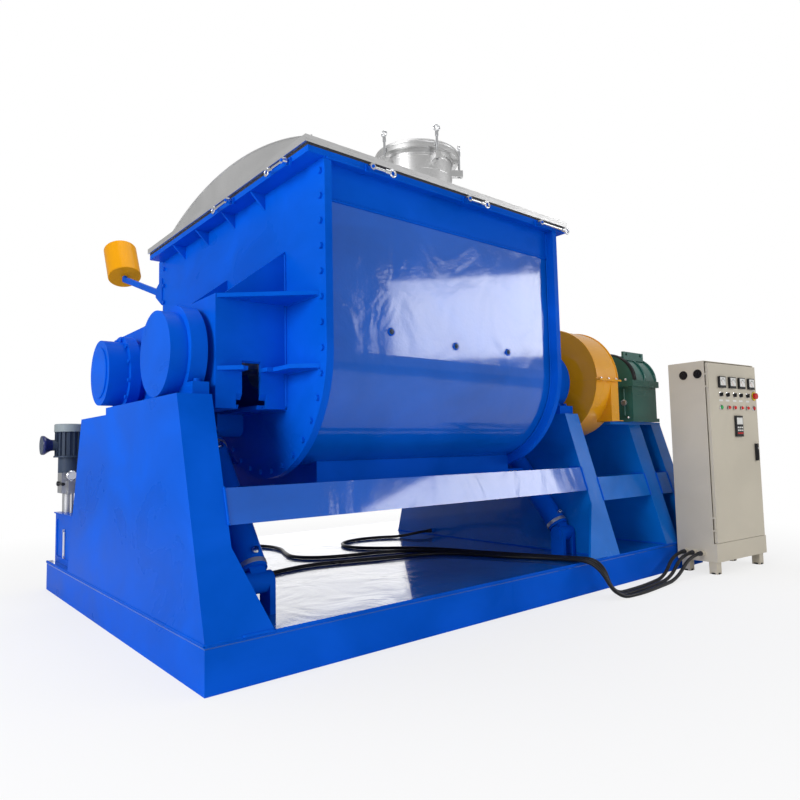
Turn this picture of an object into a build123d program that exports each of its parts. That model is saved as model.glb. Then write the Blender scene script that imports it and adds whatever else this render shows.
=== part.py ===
"""Tilting sigma-blade kneading machine with its control cabinet.

Millimetres, +Z up, X along the rotor shafts, the operator stands on the -Y side.
The origin is the middle of the welded base, on the floor.
"""

import os
from math import acos, atan2, cos, degrees, hypot, pi, radians, sin, sqrt, tan

from build123d import *

# Fits and gaps
running_gap = 0.05       # radial clearance of a shaft in its bearing
seat_gap = 0.3           # play between separate pieces that lie against each other

# Welded base
base_length = 4200
base_depth = 2850
base_height = 205
deck_thickness = 20
base_wall = 16
base_rib = 30
base_bays_x = 10
base_bays_y = 3
left_end = -base_length / 2
front_edge = -base_depth / 2

# Stands that carry the trough
stand_slope = 0.30       # lean of the front and rear faces, per unit of height
stand_depth = 2235       # along the deck
stand_plate = 16
left_stand_width = 165
left_stand_top = 1240
bearing_step_y = front_edge + 1400
stand_top = 1200
flare_top = 560
left_flare = 148
right_flare = 195

# Right stand with the drive table
right_stand_x = left_end + 2845
column_1_width = 155
column_2_x = left_end + 3645
column_2_width = 173
column_3_x = left_end + 3995
column_3_width = 147
table_top = 1145
table_thickness = 20
cross_low = 572
cross_high = 735
cross_depth = 110
guard_slot_right = left_end + 3392

# Front tie beam
tie_low = 652
tie_high = 812
tie_depth = 100
tie_wall = 10

# Rotor shafts; the trough tilts about the front one
front_shaft_y = front_edge + 600
shaft_spacing = 900
shaft_z = 1452
shaft_radius = 75
rear_shaft_y = front_shaft_y + shaft_spacing
trough_mid_y = front_shaft_y + shaft_spacing / 2

# Trough
bowl_radius = 455
shell_plate = 20
end_plate_x = left_end + 580
end_plate_thickness = 40
trough_inner_length = 1720
flange_radius = 626
rim_top = 2400
rim_thickness = 30
rim_overhang_x = 93
rim_overhang_y = 4
rim_gusset = 85
jacket_radius = 570
jacket_plate = 8
jacket_top = 2190
jacket_end_gap = 12
skirt_gap = 7
gland_hole_radius = 110
end_bolt_pitch = 120
end_bolt_inset = 34
end_bolt_radius = 15
end_bolt_height = 13
port_radius = 14

# Bearing bracket on the left end plate
bracket_x = left_end + 200
bracket_plate = 25
bracket_low = 1180
bracket_high = 1730
bracket_near_y = front_edge + 350
bracket_far_y = front_edge + 1850
bracket_wall = 20
wing_rise = 270
rib_reach = 322
rib_low_z = 1360

# Trunnions and bearing housings
trunnion_radius = 120
trunnion_bore = 82
housing_radius = 245
housing_width = 85
cap_radius = 210
cap_width = 85
foot_length = 520
rear_housing_radius = 192
rear_housing_flange = 225
rear_housing_width = 110
rear_flange_width = 60

# Rotors
tip_gap = 8
blade_root_radius = 225
blade_tip_width = 150
blade_root_width = 105
blade_twist = 68
blade_stations = 7
arm_thickness = 110
hub_radius = 135
blade_end_gap = 10

# Gear pair between the rotors
gear_module = 20
front_teeth = 36
rear_teeth = 54
gear_width = 180
gear_backlash = 1.0
pressure_angle = radians(20)
gear_hub_radius = 130
gear_case_gap = 6
gear_case_wall = 10
gear_case_width = 300
gear_inset = 60

# Drive line on the right
guard_x = left_end + 3085
guard_length = 285
guard_radius = 418
guard_sheet = 6
guard_flange = 30
coupling_radius = 290
coupling_hub_radius = 150
coupling_flange = 40
shaft_end_gap = 4        # between the two shaft ends inside the coupling
shaft_seat = 90          # the output shaft's reach into the reducer
reducer_x = left_end + 3620
reducer_width = 360
reducer_near_y = front_edge + 200
reducer_far_y = front_edge + 1960
reducer_split_flange = 25
reducer_cover_height = 248
reducer_flat_length = 780
reducer_tail_radius = 150
reducer_wall = 14
reducer_boss = 20
output_boss_radius = 165
input_boss_radius = 95
motor_y = front_edge + 1600
motor_x = left_end + 2800
motor_length = 560
motor_radius = 200
motor_shaft_radius = 30
motor_fin_count = 24
motor_coupling_radius = 85

# Lid
lid_overhang_x = 16
gasket_thickness = 12
lid_flange_height = 34
lid_sheet = 6
vault_front = (front_edge - 10, 2461)
vault_crown = (front_edge + 912.7, 2625)
lid_top = rim_top + seat_gap + gasket_thickness + lid_flange_height
vault_rear = (front_edge + 1880, lid_top)
vault_side = 33
lid_pivot_y = front_edge + 2222
lid_pivot_z = 2160
lid_pin_radius = 25
arm_thickness_lid = 35
arm_positions = (left_end + 620, left_end + 2340)
arm_end = (front_edge + 3150, 2470)
weight_radius = 133
weight_length = 330
weight_tilt = 27

# Manhole on the lid
manhole_x = left_end + 1530
manhole_y = front_edge + 375
neck_radius = 215
neck_wall = 8
neck_top = 2752
manhole_flange_radius = 258
manhole_flange = 22
manhole_bolt_angles = (183, 255, 327)
manhole_hinge_angle = 75
manhole_bolt_circle = 268
ring_radius = 17
ring_wire = 6

# Tilting cylinders, one at each end of the trough
cylinder_x = (left_end + 385, left_end + 2765)
cylinder_base = (front_edge + 300, 352)
cylinder_lug = (289, -345)    # from the tilting axis: towards the rear, up
barrel_radius = 70
rod_radius = 38
cylinder_eye_radius = 52
cylinder_eye_width = 80
cylinder_pin_radius = 30
lug_plate = 30

# Slots in the bearing bracket that the left cylinder swings through, seen from the tilting axis
rod_slot_half = 50
rod_slot = ((-620, 134), (115, -207), (275, -207), (355, -300), (355, -420), (-620, -420))
barrel_slot_half = 82
barrel_slot = (
    (-620, 166), (-345, 38), (-310, -112), (-235, -222), (-180, -300), (-180, -420), (-620, -420),
)

# Cradle under the trough
cradle_left = left_end + 800
cradle_right = left_end + 2500
cradle_low = 700
cradle_front_y = front_edge + 420
cradle_depth = 1180

# Hydraulic power unit
tank_x = left_end + 50
tank_y = front_edge + 2300
tank_length = 300
tank_depth = 530
tank_top = 550
tank_sheet = 8
pump_x = left_end + 110
pump_y = front_edge + 2740
pump_motor_radius = 95
pump_motor_low = 960
pump_motor_high = 1200

# Control cabinet
cabinet_corner = (left_end + 3749, front_edge - 327)
cabinet_turn = -4.6
cabinet_width = 725
cabinet_depth = 313
cabinet_height = 1579
cabinet_foot = 90
cabinet_sheet = 4
door_thickness = 22
door_margin = 14
hinge_axis = (8, 6)
hinge_places = (1433, 366)
hinge_length = 76
hinge_eye = 15
hinge_radius = 5
hinge_pin_radius = 3
button_travel = 5

# Power cables
cable_diameter = 24
cable_deck_z = base_height + cable_diameter / 2 + seat_gap
cable_floor_z = cable_diameter / 2 + seat_gap
gland_length = 30
deck_gland_z = base_height + 40
stand_gland_y = front_edge + 1745
tank_gland_y = front_edge + 2500

BASE = (Align.CENTER, Align.CENTER, Align.MIN)
LOW = (Align.MIN, Align.MIN, Align.MIN)

os.makedirs("parts", exist_ok=True)


def finish(part, name):
    """Label a finished piece and write it."""
    part.label = name
    export_step(part, f"parts/{name}.step")


def along_x(x, y, z):
    """Place whose own Z axis points along the machine."""
    return Location((x, y, z), (0, 90, 0))


def along_y(x, y, z):
    """Place whose own Z axis points to the rear."""
    return Location((x, y, z), (-90, 0, 0))


def cable_gland(place):
    """Screwed cable gland standing on place: a nut and a nose that the cable enters."""
    with BuildPart() as gland:
        with Locations(place):
            Cylinder(21, gland_length / 2, align=BASE)
            Cylinder(17, gland_length, align=BASE)
    return gland.part


def face_on(plane, *points):
    """Straight-sided closed outline through points, drawn on plane."""
    with BuildSketch(plane) as outline:
        with BuildLine():
            Polyline(*points, close=True)
        make_face()
    return outline.sketch


def bowl_face(x, radius, top):
    """Cross-section of the double bowl: a disc about each shaft under straight sides."""
    with BuildSketch(Plane.YZ.offset(x)) as outline:
        with Locations((front_shaft_y, shaft_z), (rear_shaft_y, shaft_z)):
            Circle(radius)
        with Locations((trough_mid_y, shaft_z)):
            Rectangle(shaft_spacing + 2 * radius, top - shaft_z, align=(Align.CENTER, Align.MIN))
    return outline.sketch


def slope_y(z):
    """Y of the stands' leaning front face at height z."""
    return front_edge + stand_slope * (z - base_height)


def rear_slope_y(z):
    """Y of the stands' leaning rear face at height z."""
    return front_edge + stand_depth - stand_slope * (z - base_height)


# Welded base: an outer wall, longitudinal and cross ribs, open cells between them
base_inner_x = (base_length - 2 * base_wall - (base_bays_x - 1) * base_rib) / base_bays_x
base_inner_y = (base_depth - 2 * base_wall - (base_bays_y - 1) * base_rib) / base_bays_y
frame_height = base_height - deck_thickness
with BuildPart() as base_frame:
    Box(base_length, base_depth, frame_height, align=BASE)
    with GridLocations(base_inner_x + base_rib, base_inner_y + base_rib, base_bays_x, base_bays_y):
        Box(base_inner_x, base_inner_y, frame_height, align=BASE, mode=Mode.SUBTRACT)
finish(base_frame.part, "base_frame")

with BuildPart() as deck_plate:
    with Locations((0, 0, frame_height)):
        Box(base_length, base_depth, deck_thickness, align=BASE)
finish(deck_plate.part, "deck_plate")

# Leaning front plane of both stands, drawn with its own Y running up the slope
slope_plane = Plane(
    origin=(0, front_edge, base_height),
    x_dir=(1, 0, 0),
    z_dir=(0, -1, stand_slope),
)
slope_length = sqrt(1 + stand_slope**2)


def stand_outline(top):
    """Side view of a stand wall up to a level top."""
    return (
        (front_edge, base_height),
        (slope_y(top), top),
        (rear_slope_y(top), top),
        (front_edge + stand_depth, base_height),
    )


def hollow_wall(x, width, points):
    """Box-section wall of stand_plate sheet, from x, as (outside, inside) solids."""
    outer = extrude(face_on(Plane.YZ.offset(x), *points), amount=width)
    inner_face = offset(
        face_on(Plane.YZ.offset(x + stand_plate), *points),
        amount=-stand_plate,
        kind=Kind.INTERSECTION,
    )
    return outer, extrude(inner_face, amount=width - 2 * stand_plate)


def flare(x, reach):
    """Triangular foot plate in the leaning front plane, reaching sideways from x."""
    rise = (flare_top - base_height) * slope_length
    foot = stand_plate * stand_slope
    return extrude(face_on(slope_plane, (x, foot), (x + reach, foot), (x, rise)), amount=-stand_plate)


left_outline = (
    (front_edge, base_height),
    (slope_y(left_stand_top), left_stand_top),
    (bearing_step_y, left_stand_top),
    (bearing_step_y, stand_top),
    (rear_slope_y(stand_top), stand_top),
    (front_edge + stand_depth, base_height),
)
left_wall, left_void = hollow_wall(left_end, left_stand_width, left_outline)
with BuildPart() as left_stand:
    add(left_wall)
    add(flare(left_end + left_stand_width, left_flare))
    add(left_void, mode=Mode.SUBTRACT)
finish(left_stand.part, "left_stand")

# Right stand: three box walls, a drive table and cross-pieces between them
table_low = table_top - table_thickness
column_1_right = right_stand_x + column_1_width
column_3_right = column_3_x + column_3_width
right_walls = (
    hollow_wall(right_stand_x, column_1_width, stand_outline(stand_top)),
    hollow_wall(column_2_x, column_2_width, stand_outline(table_low)),
    hollow_wall(column_3_x, column_3_width, stand_outline(table_low)),
)


def cross_piece(x, length, low, high, depth):
    """Bar in the leaning front plane between two heights."""
    points = (
        (slope_y(low), low),
        (slope_y(high), high),
        (slope_y(high) + depth, high),
        (slope_y(low) + depth, low),
    )
    return extrude(face_on(Plane.YZ.offset(x), *points), amount=length)


with BuildPart() as right_stand:
    for wall, _ in right_walls:
        add(wall)
    add(cross_piece(column_1_right, column_3_x - column_1_right, cross_low, cross_high, cross_depth))
    add(flare(right_stand_x, -right_flare))
    with Locations((column_1_right, slope_y(table_low), table_low)):
        table_depth = rear_slope_y(table_low) - slope_y(table_low)
        Box(column_3_right - column_1_right, table_depth, table_thickness, align=LOW)
    with Locations((column_1_right, slope_y(table_low), table_low)):
        guard_slot_depth = front_shaft_y + guard_radius + 22 - slope_y(table_low)
        Box(
            guard_slot_right - column_1_right, guard_slot_depth, table_thickness,
            align=LOW, mode=Mode.SUBTRACT,
        )
    for _, void in right_walls:
        add(void, mode=Mode.SUBTRACT)
    add(cable_gland(Location((right_stand_x, stand_gland_y, deck_gland_z), (0, -90, 0))))
finish(right_stand.part, "right_stand")

# Front tie beam: rectangular tube that leans with the stands
tie_x = left_end + left_stand_width
tie_length = right_stand_x - tie_x
tie_points = (
    (slope_y(tie_low), tie_low),
    (slope_y(tie_high), tie_high),
    (slope_y(tie_high) + tie_depth, tie_high),
    (slope_y(tie_low) + tie_depth, tie_low),
)
with BuildPart() as tie_beam:
    with BuildSketch(Plane.YZ.offset(tie_x)):
        with BuildLine():
            Polyline(*tie_points, close=True)
        make_face()
        offset(amount=-tie_wall, kind=Kind.INTERSECTION, mode=Mode.SUBTRACT)
    extrude(amount=tie_length)
finish(tie_beam.part, "tie_beam")

# Trunnion bearings: the left one is closed by a round cap, the right one is open for the shaft
left_housing_x = left_end + cap_width
right_housing_x = right_stand_x
with BuildPart() as trunnion_bearings:
    with Locations(along_x(left_end, front_shaft_y, shaft_z)):
        Cylinder(cap_radius, cap_width, align=BASE)
    with Locations(along_x(left_housing_x, front_shaft_y, shaft_z)):
        Cylinder(housing_radius, housing_width - 5, align=BASE)
    with Locations((left_housing_x, front_shaft_y, left_stand_top)):
        Box(
            housing_width - 5, foot_length, 60,
            align=(Align.MIN, Align.CENTER, Align.MIN),
        )
    with Locations((left_end, front_shaft_y, 0)):
        Box(
            left_stand_width, 2 * housing_radius, left_stand_top,
            align=(Align.MIN, Align.CENTER, Align.MIN), mode=Mode.SUBTRACT,
        )
    with Locations(along_x(right_housing_x, front_shaft_y, shaft_z)):
        Cylinder(housing_radius, column_1_width, align=BASE)
    with Locations((right_housing_x, front_shaft_y, stand_top)):
        Box(
            column_1_width, foot_length, 60,
            align=(Align.MIN, Align.CENTER, Align.MIN),
        )
    with Locations(along_x(left_end + 15, front_shaft_y, shaft_z)):
        Cylinder(
            trunnion_radius + running_gap, right_housing_x + column_1_width - left_end,
            align=BASE, mode=Mode.SUBTRACT,
        )
finish(trunnion_bearings.part, "trunnion_bearings")

# Trough: double bowl, rim flange with gussets, upper skirt and hinge lugs
inner_left = end_plate_x + end_plate_thickness
inner_right = inner_left + trough_inner_length
trough_right = inner_right + end_plate_thickness
trough_mid_x = (inner_left + inner_right) / 2
rim_low = rim_top - rim_thickness
rim_half_y = shaft_spacing / 2 + flange_radius + rim_overhang_y
rim_left = end_plate_x - rim_overhang_x
rim_right = trough_right + rim_overhang_x
bowl_half_y = shaft_spacing / 2 + bowl_radius
trough_rear_y = trough_mid_y + shaft_spacing / 2 + flange_radius
gusset_places = (570, 940, 1320, 1700)
with BuildPart() as trough_shell:
    extrude(bowl_face(inner_left, bowl_radius + shell_plate, rim_top), amount=trough_inner_length)
    with Locations((rim_left, trough_mid_y, rim_low)):
        Box(
            rim_right - rim_left, 2 * rim_half_y, rim_thickness,
            align=(Align.MIN, Align.CENTER, Align.MIN),
        )
    extrude(
        bowl_face(inner_left, bowl_radius, rim_top + 1),
        amount=trough_inner_length,
        mode=Mode.SUBTRACT,
    )
    for side in (-1, 1):
        skirt_y = trough_mid_y + side * (shaft_spacing / 2 + jacket_radius - jacket_plate / 2)
        with Locations((inner_left, skirt_y, jacket_top + skirt_gap)):
            Box(
                trough_inner_length, jacket_plate, rim_low - jacket_top - skirt_gap,
                align=(Align.MIN, Align.CENTER, Align.MIN),
            )
    for place in gusset_places:
        plane = Plane.XZ.offset(-(front_edge + place))
        for x, reach in ((end_plate_x, -rim_gusset), (trough_right, rim_gusset)):
            wedge = face_on(plane, (x, rim_low), (x + reach, rim_low), (x, rim_low - rim_gusset))
            extrude(wedge, amount=8, both=True)
    for x in arm_positions:
        for side in (-1, 1):
            lug_x = x + side * (arm_thickness_lid / 2 + 1 + lug_plate / 2)
            over_plate = (x < trough_mid_x) == (side < 0)
            root_y = trough_rear_y if over_plate else trough_mid_y + shaft_spacing / 2 + jacket_radius
            lug = face_on(
                Plane.YZ.offset(lug_x),
                (root_y, lid_pivot_z - 110),
                (root_y, lid_pivot_z + 90),
                (lid_pivot_y + 30, lid_pivot_z + 30),
                (lid_pivot_y + 30, lid_pivot_z - 30),
            )
            extrude(lug, amount=lug_plate / 2, both=True)
        with Locations(along_x(x - arm_thickness_lid / 2 - lug_plate, lid_pivot_y, lid_pivot_z)):
            Cylinder(lid_pin_radius, arm_thickness_lid + 2 * lug_plate, align=BASE)

# End plates, bolted to the bowl; the shafts pass through wide holes
with BuildPart() as end_plates:
    for x in (end_plate_x, inner_right):
        extrude(bowl_face(x, flange_radius, rim_low), amount=end_plate_thickness)
        with Locations(along_x(x, front_shaft_y, shaft_z), along_x(x, rear_shaft_y, shaft_z)):
            Cylinder(gland_hole_radius, end_plate_thickness, align=BASE, mode=Mode.SUBTRACT)
finish(end_plates.part, "end_plates")

# Heating jacket: a second skin round the bowl with closed ends and top edges
jacket_left = inner_left + jacket_end_gap
jacket_length = trough_inner_length - 2 * jacket_end_gap
port_places = ((1012, 1573), (1480, 1537), (1921, 1539))
jacket_front_y = front_shaft_y - jacket_radius
with BuildPart() as heating_jacket:
    extrude(bowl_face(jacket_left, jacket_radius, jacket_top), amount=jacket_length)
    extrude(
        bowl_face(jacket_left + jacket_plate, jacket_radius - jacket_plate, jacket_top - jacket_plate),
        amount=jacket_length - 2 * jacket_plate,
        mode=Mode.SUBTRACT,
    )
    extrude(
        bowl_face(jacket_left, bowl_radius + shell_plate + seat_gap, jacket_top),
        amount=jacket_length,
        mode=Mode.SUBTRACT,
    )
    for x, z in port_places:
        with Locations(along_y(left_end + x, jacket_front_y - 3, z)):
            Cylinder(port_radius, 3 + jacket_plate / 2, align=BASE)
finish(heating_jacket.part, "heating_jacket")

# Bearing bracket: a welded box with wings and ribs on the left end plate
bracket_depth = bracket_far_y - bracket_near_y
bracket_box = end_plate_x - bracket_x
side_profile = (
    (bracket_x, bracket_low),
    (end_plate_x, bracket_low),
    (end_plate_x, bracket_high + wing_rise),
    (bracket_x + 50, bracket_high + 10),
    (bracket_x, bracket_high),
)
rear_housing_left = bracket_x - rear_housing_width - rear_flange_width - 40
with BuildPart() as bearing_bracket:
    with Locations((bracket_x, bracket_near_y, bracket_low)):
        Box(bracket_plate, bracket_depth, bracket_high - bracket_low, align=LOW)
    for y in (bracket_near_y, trough_mid_y - bracket_wall / 2, bracket_far_y - bracket_wall):
        extrude(face_on(Plane.XZ.offset(-y), *side_profile), amount=-bracket_wall)
    for z in (bracket_low, bracket_high - bracket_wall):
        with Locations((bracket_x, bracket_near_y, z)):
            Box(bracket_box, bracket_depth, bracket_wall, align=LOW)
    for z in (bracket_high - bracket_wall, rib_low_z):
        for y, reach in ((bracket_near_y, -rib_reach), (bracket_far_y, rib_reach - 100)):
            corners = ((bracket_x + 7, y), (end_plate_x, y), (end_plate_x, y + reach))
            extrude(face_on(Plane.XY.offset(z), *corners), amount=bracket_wall)
    with Locations(along_x(left_end + 20, front_shaft_y, shaft_z)):
        Cylinder(trunnion_radius, bracket_x - left_end - 20, align=BASE)
    with Locations(along_x(rear_housing_left, rear_shaft_y, shaft_z)):
        Cylinder(rear_housing_radius, bracket_x - rear_housing_left, align=BASE)
    with Locations(along_x(rear_housing_left + rear_housing_width, rear_shaft_y, shaft_z)):
        Cylinder(rear_housing_flange, rear_flange_width, align=BASE)
    for y, x in ((front_shaft_y, left_end + 20), (rear_shaft_y, rear_housing_left + 15)):
        with Locations(along_x(x, y, shaft_z)):
            Cylinder(trunnion_bore, bracket_x + bracket_plate - x, align=BASE, mode=Mode.SUBTRACT)
    for half, slot in ((rod_slot_half, rod_slot), (barrel_slot_half, barrel_slot)):
        corners = [(front_shaft_y + y, shaft_z + z) for y, z in slot]
        extrude(
            face_on(Plane.YZ.offset(cylinder_x[0]), *corners), amount=half, both=True,
            mode=Mode.SUBTRACT,
        )
    lug_y = front_shaft_y + cylinder_lug[0]
    lug_z = shaft_z + cylinder_lug[1]
    left_lug_x = cylinder_x[0] + cylinder_eye_width / 2 + seat_gap
    with Locations(along_x(left_lug_x, lug_y, lug_z)):
        Cylinder(cylinder_eye_radius, end_plate_x - left_lug_x, align=BASE)
    with Locations((left_lug_x, lug_y, lug_z)):
        Box(
            end_plate_x - left_lug_x, cylinder_eye_radius * 2, bracket_low - lug_z + 5,
            align=(Align.MIN, Align.CENTER, Align.MIN),
        )
finish(bearing_bracket.part, "bearing_bracket")

# Gears: involute teeth, thinned by the backlash
front_pitch = gear_module * front_teeth / 2
rear_pitch = gear_module * rear_teeth / 2
addendum = gear_module
dedendum = 1.25 * gear_module


def tooth_half_angle(radius, teeth):
    """Half the angle that a tooth fills at a radius, by the involute of its base circle."""
    pitch = gear_module * teeth / 2
    roll = acos(min(1, pitch * cos(pressure_angle) / radius))
    spread = tan(pressure_angle) - pressure_angle - (tan(roll) - roll)
    return pi / (2 * teeth) + spread - gear_backlash / (2 * pitch)


def gear_outline(teeth, phase):
    """Corners of a spur gear about the origin, a tooth centred on the phase angle."""
    pitch = gear_module * teeth / 2
    base = pitch * cos(pressure_angle)
    root = pitch - dedendum
    tip = pitch + addendum
    start = max(root, base)
    rising = ((root, start), (start, start), (pitch, pitch), (tip, tip))
    corners = []
    for tooth in range(teeth):
        middle = phase + 2 * pi * tooth / teeth
        sides = [(r, tooth_half_angle(at, teeth)) for r, at in rising if r >= root]
        if start == root:
            sides = sides[1:]
        flank = [(r, middle - half) for r, half in sides] + [(r, middle + half) for r, half in sides[::-1]]
        corners += [(r * cos(angle), r * sin(angle)) for r, angle in flank]
    return corners


def spur_gear(x, y, teeth, phase):
    """Gear blank with teeth, recessed web and bore, across gear_width from x."""
    plane = Plane(origin=(x, y, shaft_z), x_dir=(0, 1, 0), z_dir=(1, 0, 0))
    pitch = gear_module * teeth / 2
    recess = gear_width / 3
    with BuildPart() as gear:
        with BuildSketch(plane):
            with BuildLine():
                Polyline(*gear_outline(teeth, phase), close=True)
            make_face()
        extrude(amount=gear_width)
        for side in (0, gear_width - recess):
            with BuildSketch(plane.offset(side)):
                Circle(pitch - 2.6 * dedendum)
                Circle(gear_hub_radius, mode=Mode.SUBTRACT)
            extrude(amount=recess, mode=Mode.SUBTRACT)
        with BuildSketch(plane):
            Circle(shaft_radius + running_gap)
        extrude(amount=gear_width, mode=Mode.SUBTRACT)
    return gear.part


gear_x = trough_right + gear_inset
finish(spur_gear(gear_x, front_shaft_y, front_teeth, 0), "front_gear")
finish(spur_gear(gear_x, rear_shaft_y, rear_teeth, pi / rear_teeth), "rear_gear")

# Gear case on the right end plate, with the right trunnion and the rear bearing boss
case_right = trough_right + gear_case_width
case_radii = (
    front_pitch + addendum + gear_case_gap,
    rear_pitch + addendum + gear_case_gap,
)
right_lug_x = cylinder_x[1] - cylinder_eye_width / 2 - seat_gap
boss_right = case_right + 40


def asin_ratio(rise, run):
    """Angle whose sine is rise over run."""
    return atan2(rise, sqrt(run**2 - rise**2))


def case_face(x, wall):
    """Outline of the gear case: two discs and the straight belt that wraps them."""
    small, large = (radius + wall for radius in case_radii)
    lean = asin_ratio(large - small, shaft_spacing)
    with BuildSketch(Plane.YZ.offset(x)) as outline:
        with Locations((front_shaft_y, shaft_z)):
            Circle(small)
        with Locations((rear_shaft_y, shaft_z)):
            Circle(large)
        with BuildLine():
            Polyline(
                (front_shaft_y - small * sin(lean), shaft_z + small * cos(lean)),
                (rear_shaft_y - large * sin(lean), shaft_z + large * cos(lean)),
                (rear_shaft_y - large * sin(lean), shaft_z - large * cos(lean)),
                (front_shaft_y - small * sin(lean), shaft_z - small * cos(lean)),
                close=True,
            )
        make_face()
    return outline.sketch


with BuildPart() as gear_case:
    extrude(case_face(trough_right, gear_case_wall), amount=gear_case_width)
    with Locations(along_x(case_right, front_shaft_y, shaft_z)):
        Cylinder(trunnion_radius, right_housing_x + column_1_width - case_right, align=BASE)
    with Locations(along_x(case_right, rear_shaft_y, shaft_z)):
        Cylinder(gear_hub_radius, boss_right - case_right, align=BASE)
    ear = face_on(
        Plane.YZ.offset(case_right - 60),
        (lug_y - cylinder_eye_radius, lug_z),
        (lug_y - cylinder_eye_radius, lug_z + 200),
        (lug_y + cylinder_eye_radius, lug_z + 200),
        (lug_y + cylinder_eye_radius, lug_z),
    )
    extrude(ear, amount=right_lug_x - case_right + 60)
    with Locations(along_x(case_right - 60, lug_y, lug_z)):
        Cylinder(cylinder_eye_radius, right_lug_x - case_right + 60, align=BASE)
    extrude(case_face(trough_right, 0), amount=gear_case_width - gear_case_wall, mode=Mode.SUBTRACT)
    with Locations(along_x(gear_x + gear_width + 10, rear_shaft_y, shaft_z)):
        Cylinder(gear_hub_radius, case_right - gear_x - gear_width - 10, align=BASE)
    with Locations(along_x(gear_x, front_shaft_y, shaft_z)):
        Cylinder(
            trunnion_bore, right_housing_x + column_1_width - gear_x,
            align=BASE, mode=Mode.SUBTRACT,
        )
    with Locations(along_x(gear_x, rear_shaft_y, shaft_z)):
        Cylinder(trunnion_bore, boss_right - 15 - gear_x, align=BASE, mode=Mode.SUBTRACT)
finish(gear_case.part, "gear_case")


def end_bolt_places():
    """Bolt places round an end plate: up both sides and round the two lobes."""
    places = []
    reach = flange_radius - end_bolt_inset
    rise = rim_low - 60 - shaft_z
    side_count = round(rise / end_bolt_pitch)
    for number in range(side_count + 1):
        z = shaft_z + rise * number / side_count
        places += [(front_shaft_y - reach, z), (rear_shaft_y + reach, z)]
    meet = degrees(acos(shaft_spacing / 2 / reach))
    arc = 180 - meet
    arc_count = round(radians(arc) * reach / end_bolt_pitch)
    for number in range(1, arc_count):
        turn = radians(arc * number / arc_count)
        dy = reach * cos(turn)
        dz = reach * sin(turn)
        places += [(front_shaft_y - dy, shaft_z - dz), (rear_shaft_y + dy, shaft_z - dz)]
    return places


def under_case(y, z):
    """Whether a bolt head at y, z would be covered by the gear case's lower belt."""
    small, large = (radius + gear_case_wall for radius in case_radii)
    lean = asin_ratio(large - small, shaft_spacing)
    drop = (front_shaft_y - y) * sin(lean) + (shaft_z - z) * cos(lean)
    return z < shaft_z and front_shaft_y < y < rear_shaft_y and drop < small + end_bolt_radius + 3


# Hexagon bolt heads that hold the end plates
with BuildPart() as end_plate_bolts:
    for x, outward in ((end_plate_x, -1), (trough_right, 1)):
        for y, z in end_bolt_places():
            if outward > 0 and under_case(y, z):
                continue
            with BuildSketch(Plane.YZ.offset(x)) as hexagon:
                with Locations((y, z)):
                    RegularPolygon(end_bolt_radius, 6)
            extrude(hexagon.sketch, amount=outward * end_bolt_height)
finish(end_plate_bolts.part, "end_plate_bolts")

# Bushes in the trunnions and housings, and packing glands in the end plates
bush_places = (
    (left_end + 100, front_shaft_y, 150),
    (left_end + 20, rear_shaft_y, 150),
    (right_housing_x - 45, front_shaft_y, 150),
    (gear_x + gear_width + 12, rear_shaft_y, boss_right - 17 - gear_x - gear_width - 12),
)
with BuildPart() as rotor_bearings:
    for x, y, length in bush_places:
        with Locations(along_x(x, y, shaft_z)):
            Cylinder(trunnion_bore - running_gap, length, align=BASE)
            Cylinder(shaft_radius + running_gap, length, align=BASE, mode=Mode.SUBTRACT)
finish(rotor_bearings.part, "rotor_bearings")

gland_flange_radius = gland_hole_radius + 35
gland_flange = 25
with BuildPart() as packing_glands:
    for x, out_x in ((end_plate_x, end_plate_x - gland_flange), (inner_right, trough_right)):
        for y in (front_shaft_y, rear_shaft_y):
            with Locations(along_x(x, y, shaft_z)):
                Cylinder(gland_hole_radius - running_gap, end_plate_thickness, align=BASE)
            with Locations(along_x(out_x, y, shaft_z)):
                Cylinder(gland_flange_radius, gland_flange, align=BASE)
            with Locations(along_x(min(x, out_x), y, shaft_z)):
                Cylinder(
                    shaft_radius + running_gap, end_plate_thickness + gland_flange,
                    align=BASE, mode=Mode.SUBTRACT,
                )
finish(packing_glands.part, "packing_glands")

# Sigma rotors: end arm, helical wing, middle arm, opposite helical wing, end arm
blade_tip = bowl_radius - tip_gap
blade_left = inner_left + blade_end_gap
blade_right = inner_right - blade_end_gap
blade_mid = (blade_left + blade_right) / 2


def radial_plane(x, y, turn):
    """Plane across the shaft whose own X axis points along the blade's radius."""
    angle = radians(turn)
    return Plane(origin=(x, y, shaft_z), x_dir=(0, cos(angle), sin(angle)), z_dir=(1, 0, 0))


def wing_section(x, y, turn):
    """Cross-section of a wing: a broad rounded tip that narrows towards the shaft."""
    half_tip = blade_tip_width / 2
    half_root = blade_root_width / 2
    wing_tip = blade_tip - 3
    shoulder = sqrt(wing_tip**2 - half_tip**2)
    with BuildSketch(radial_plane(x, y, turn)) as section:
        with BuildLine():
            ThreePointArc((shoulder, -half_tip), (wing_tip, 0), (shoulder, half_tip))
            Line((shoulder, half_tip), (blade_root_radius, half_root))
            ThreePointArc(
                (blade_root_radius, half_root), (blade_root_radius - 25, 0),
                (blade_root_radius, -half_root),
            )
            Line((blade_root_radius, -half_root), (shoulder, -half_tip))
        make_face()
    return section.sketch


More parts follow.
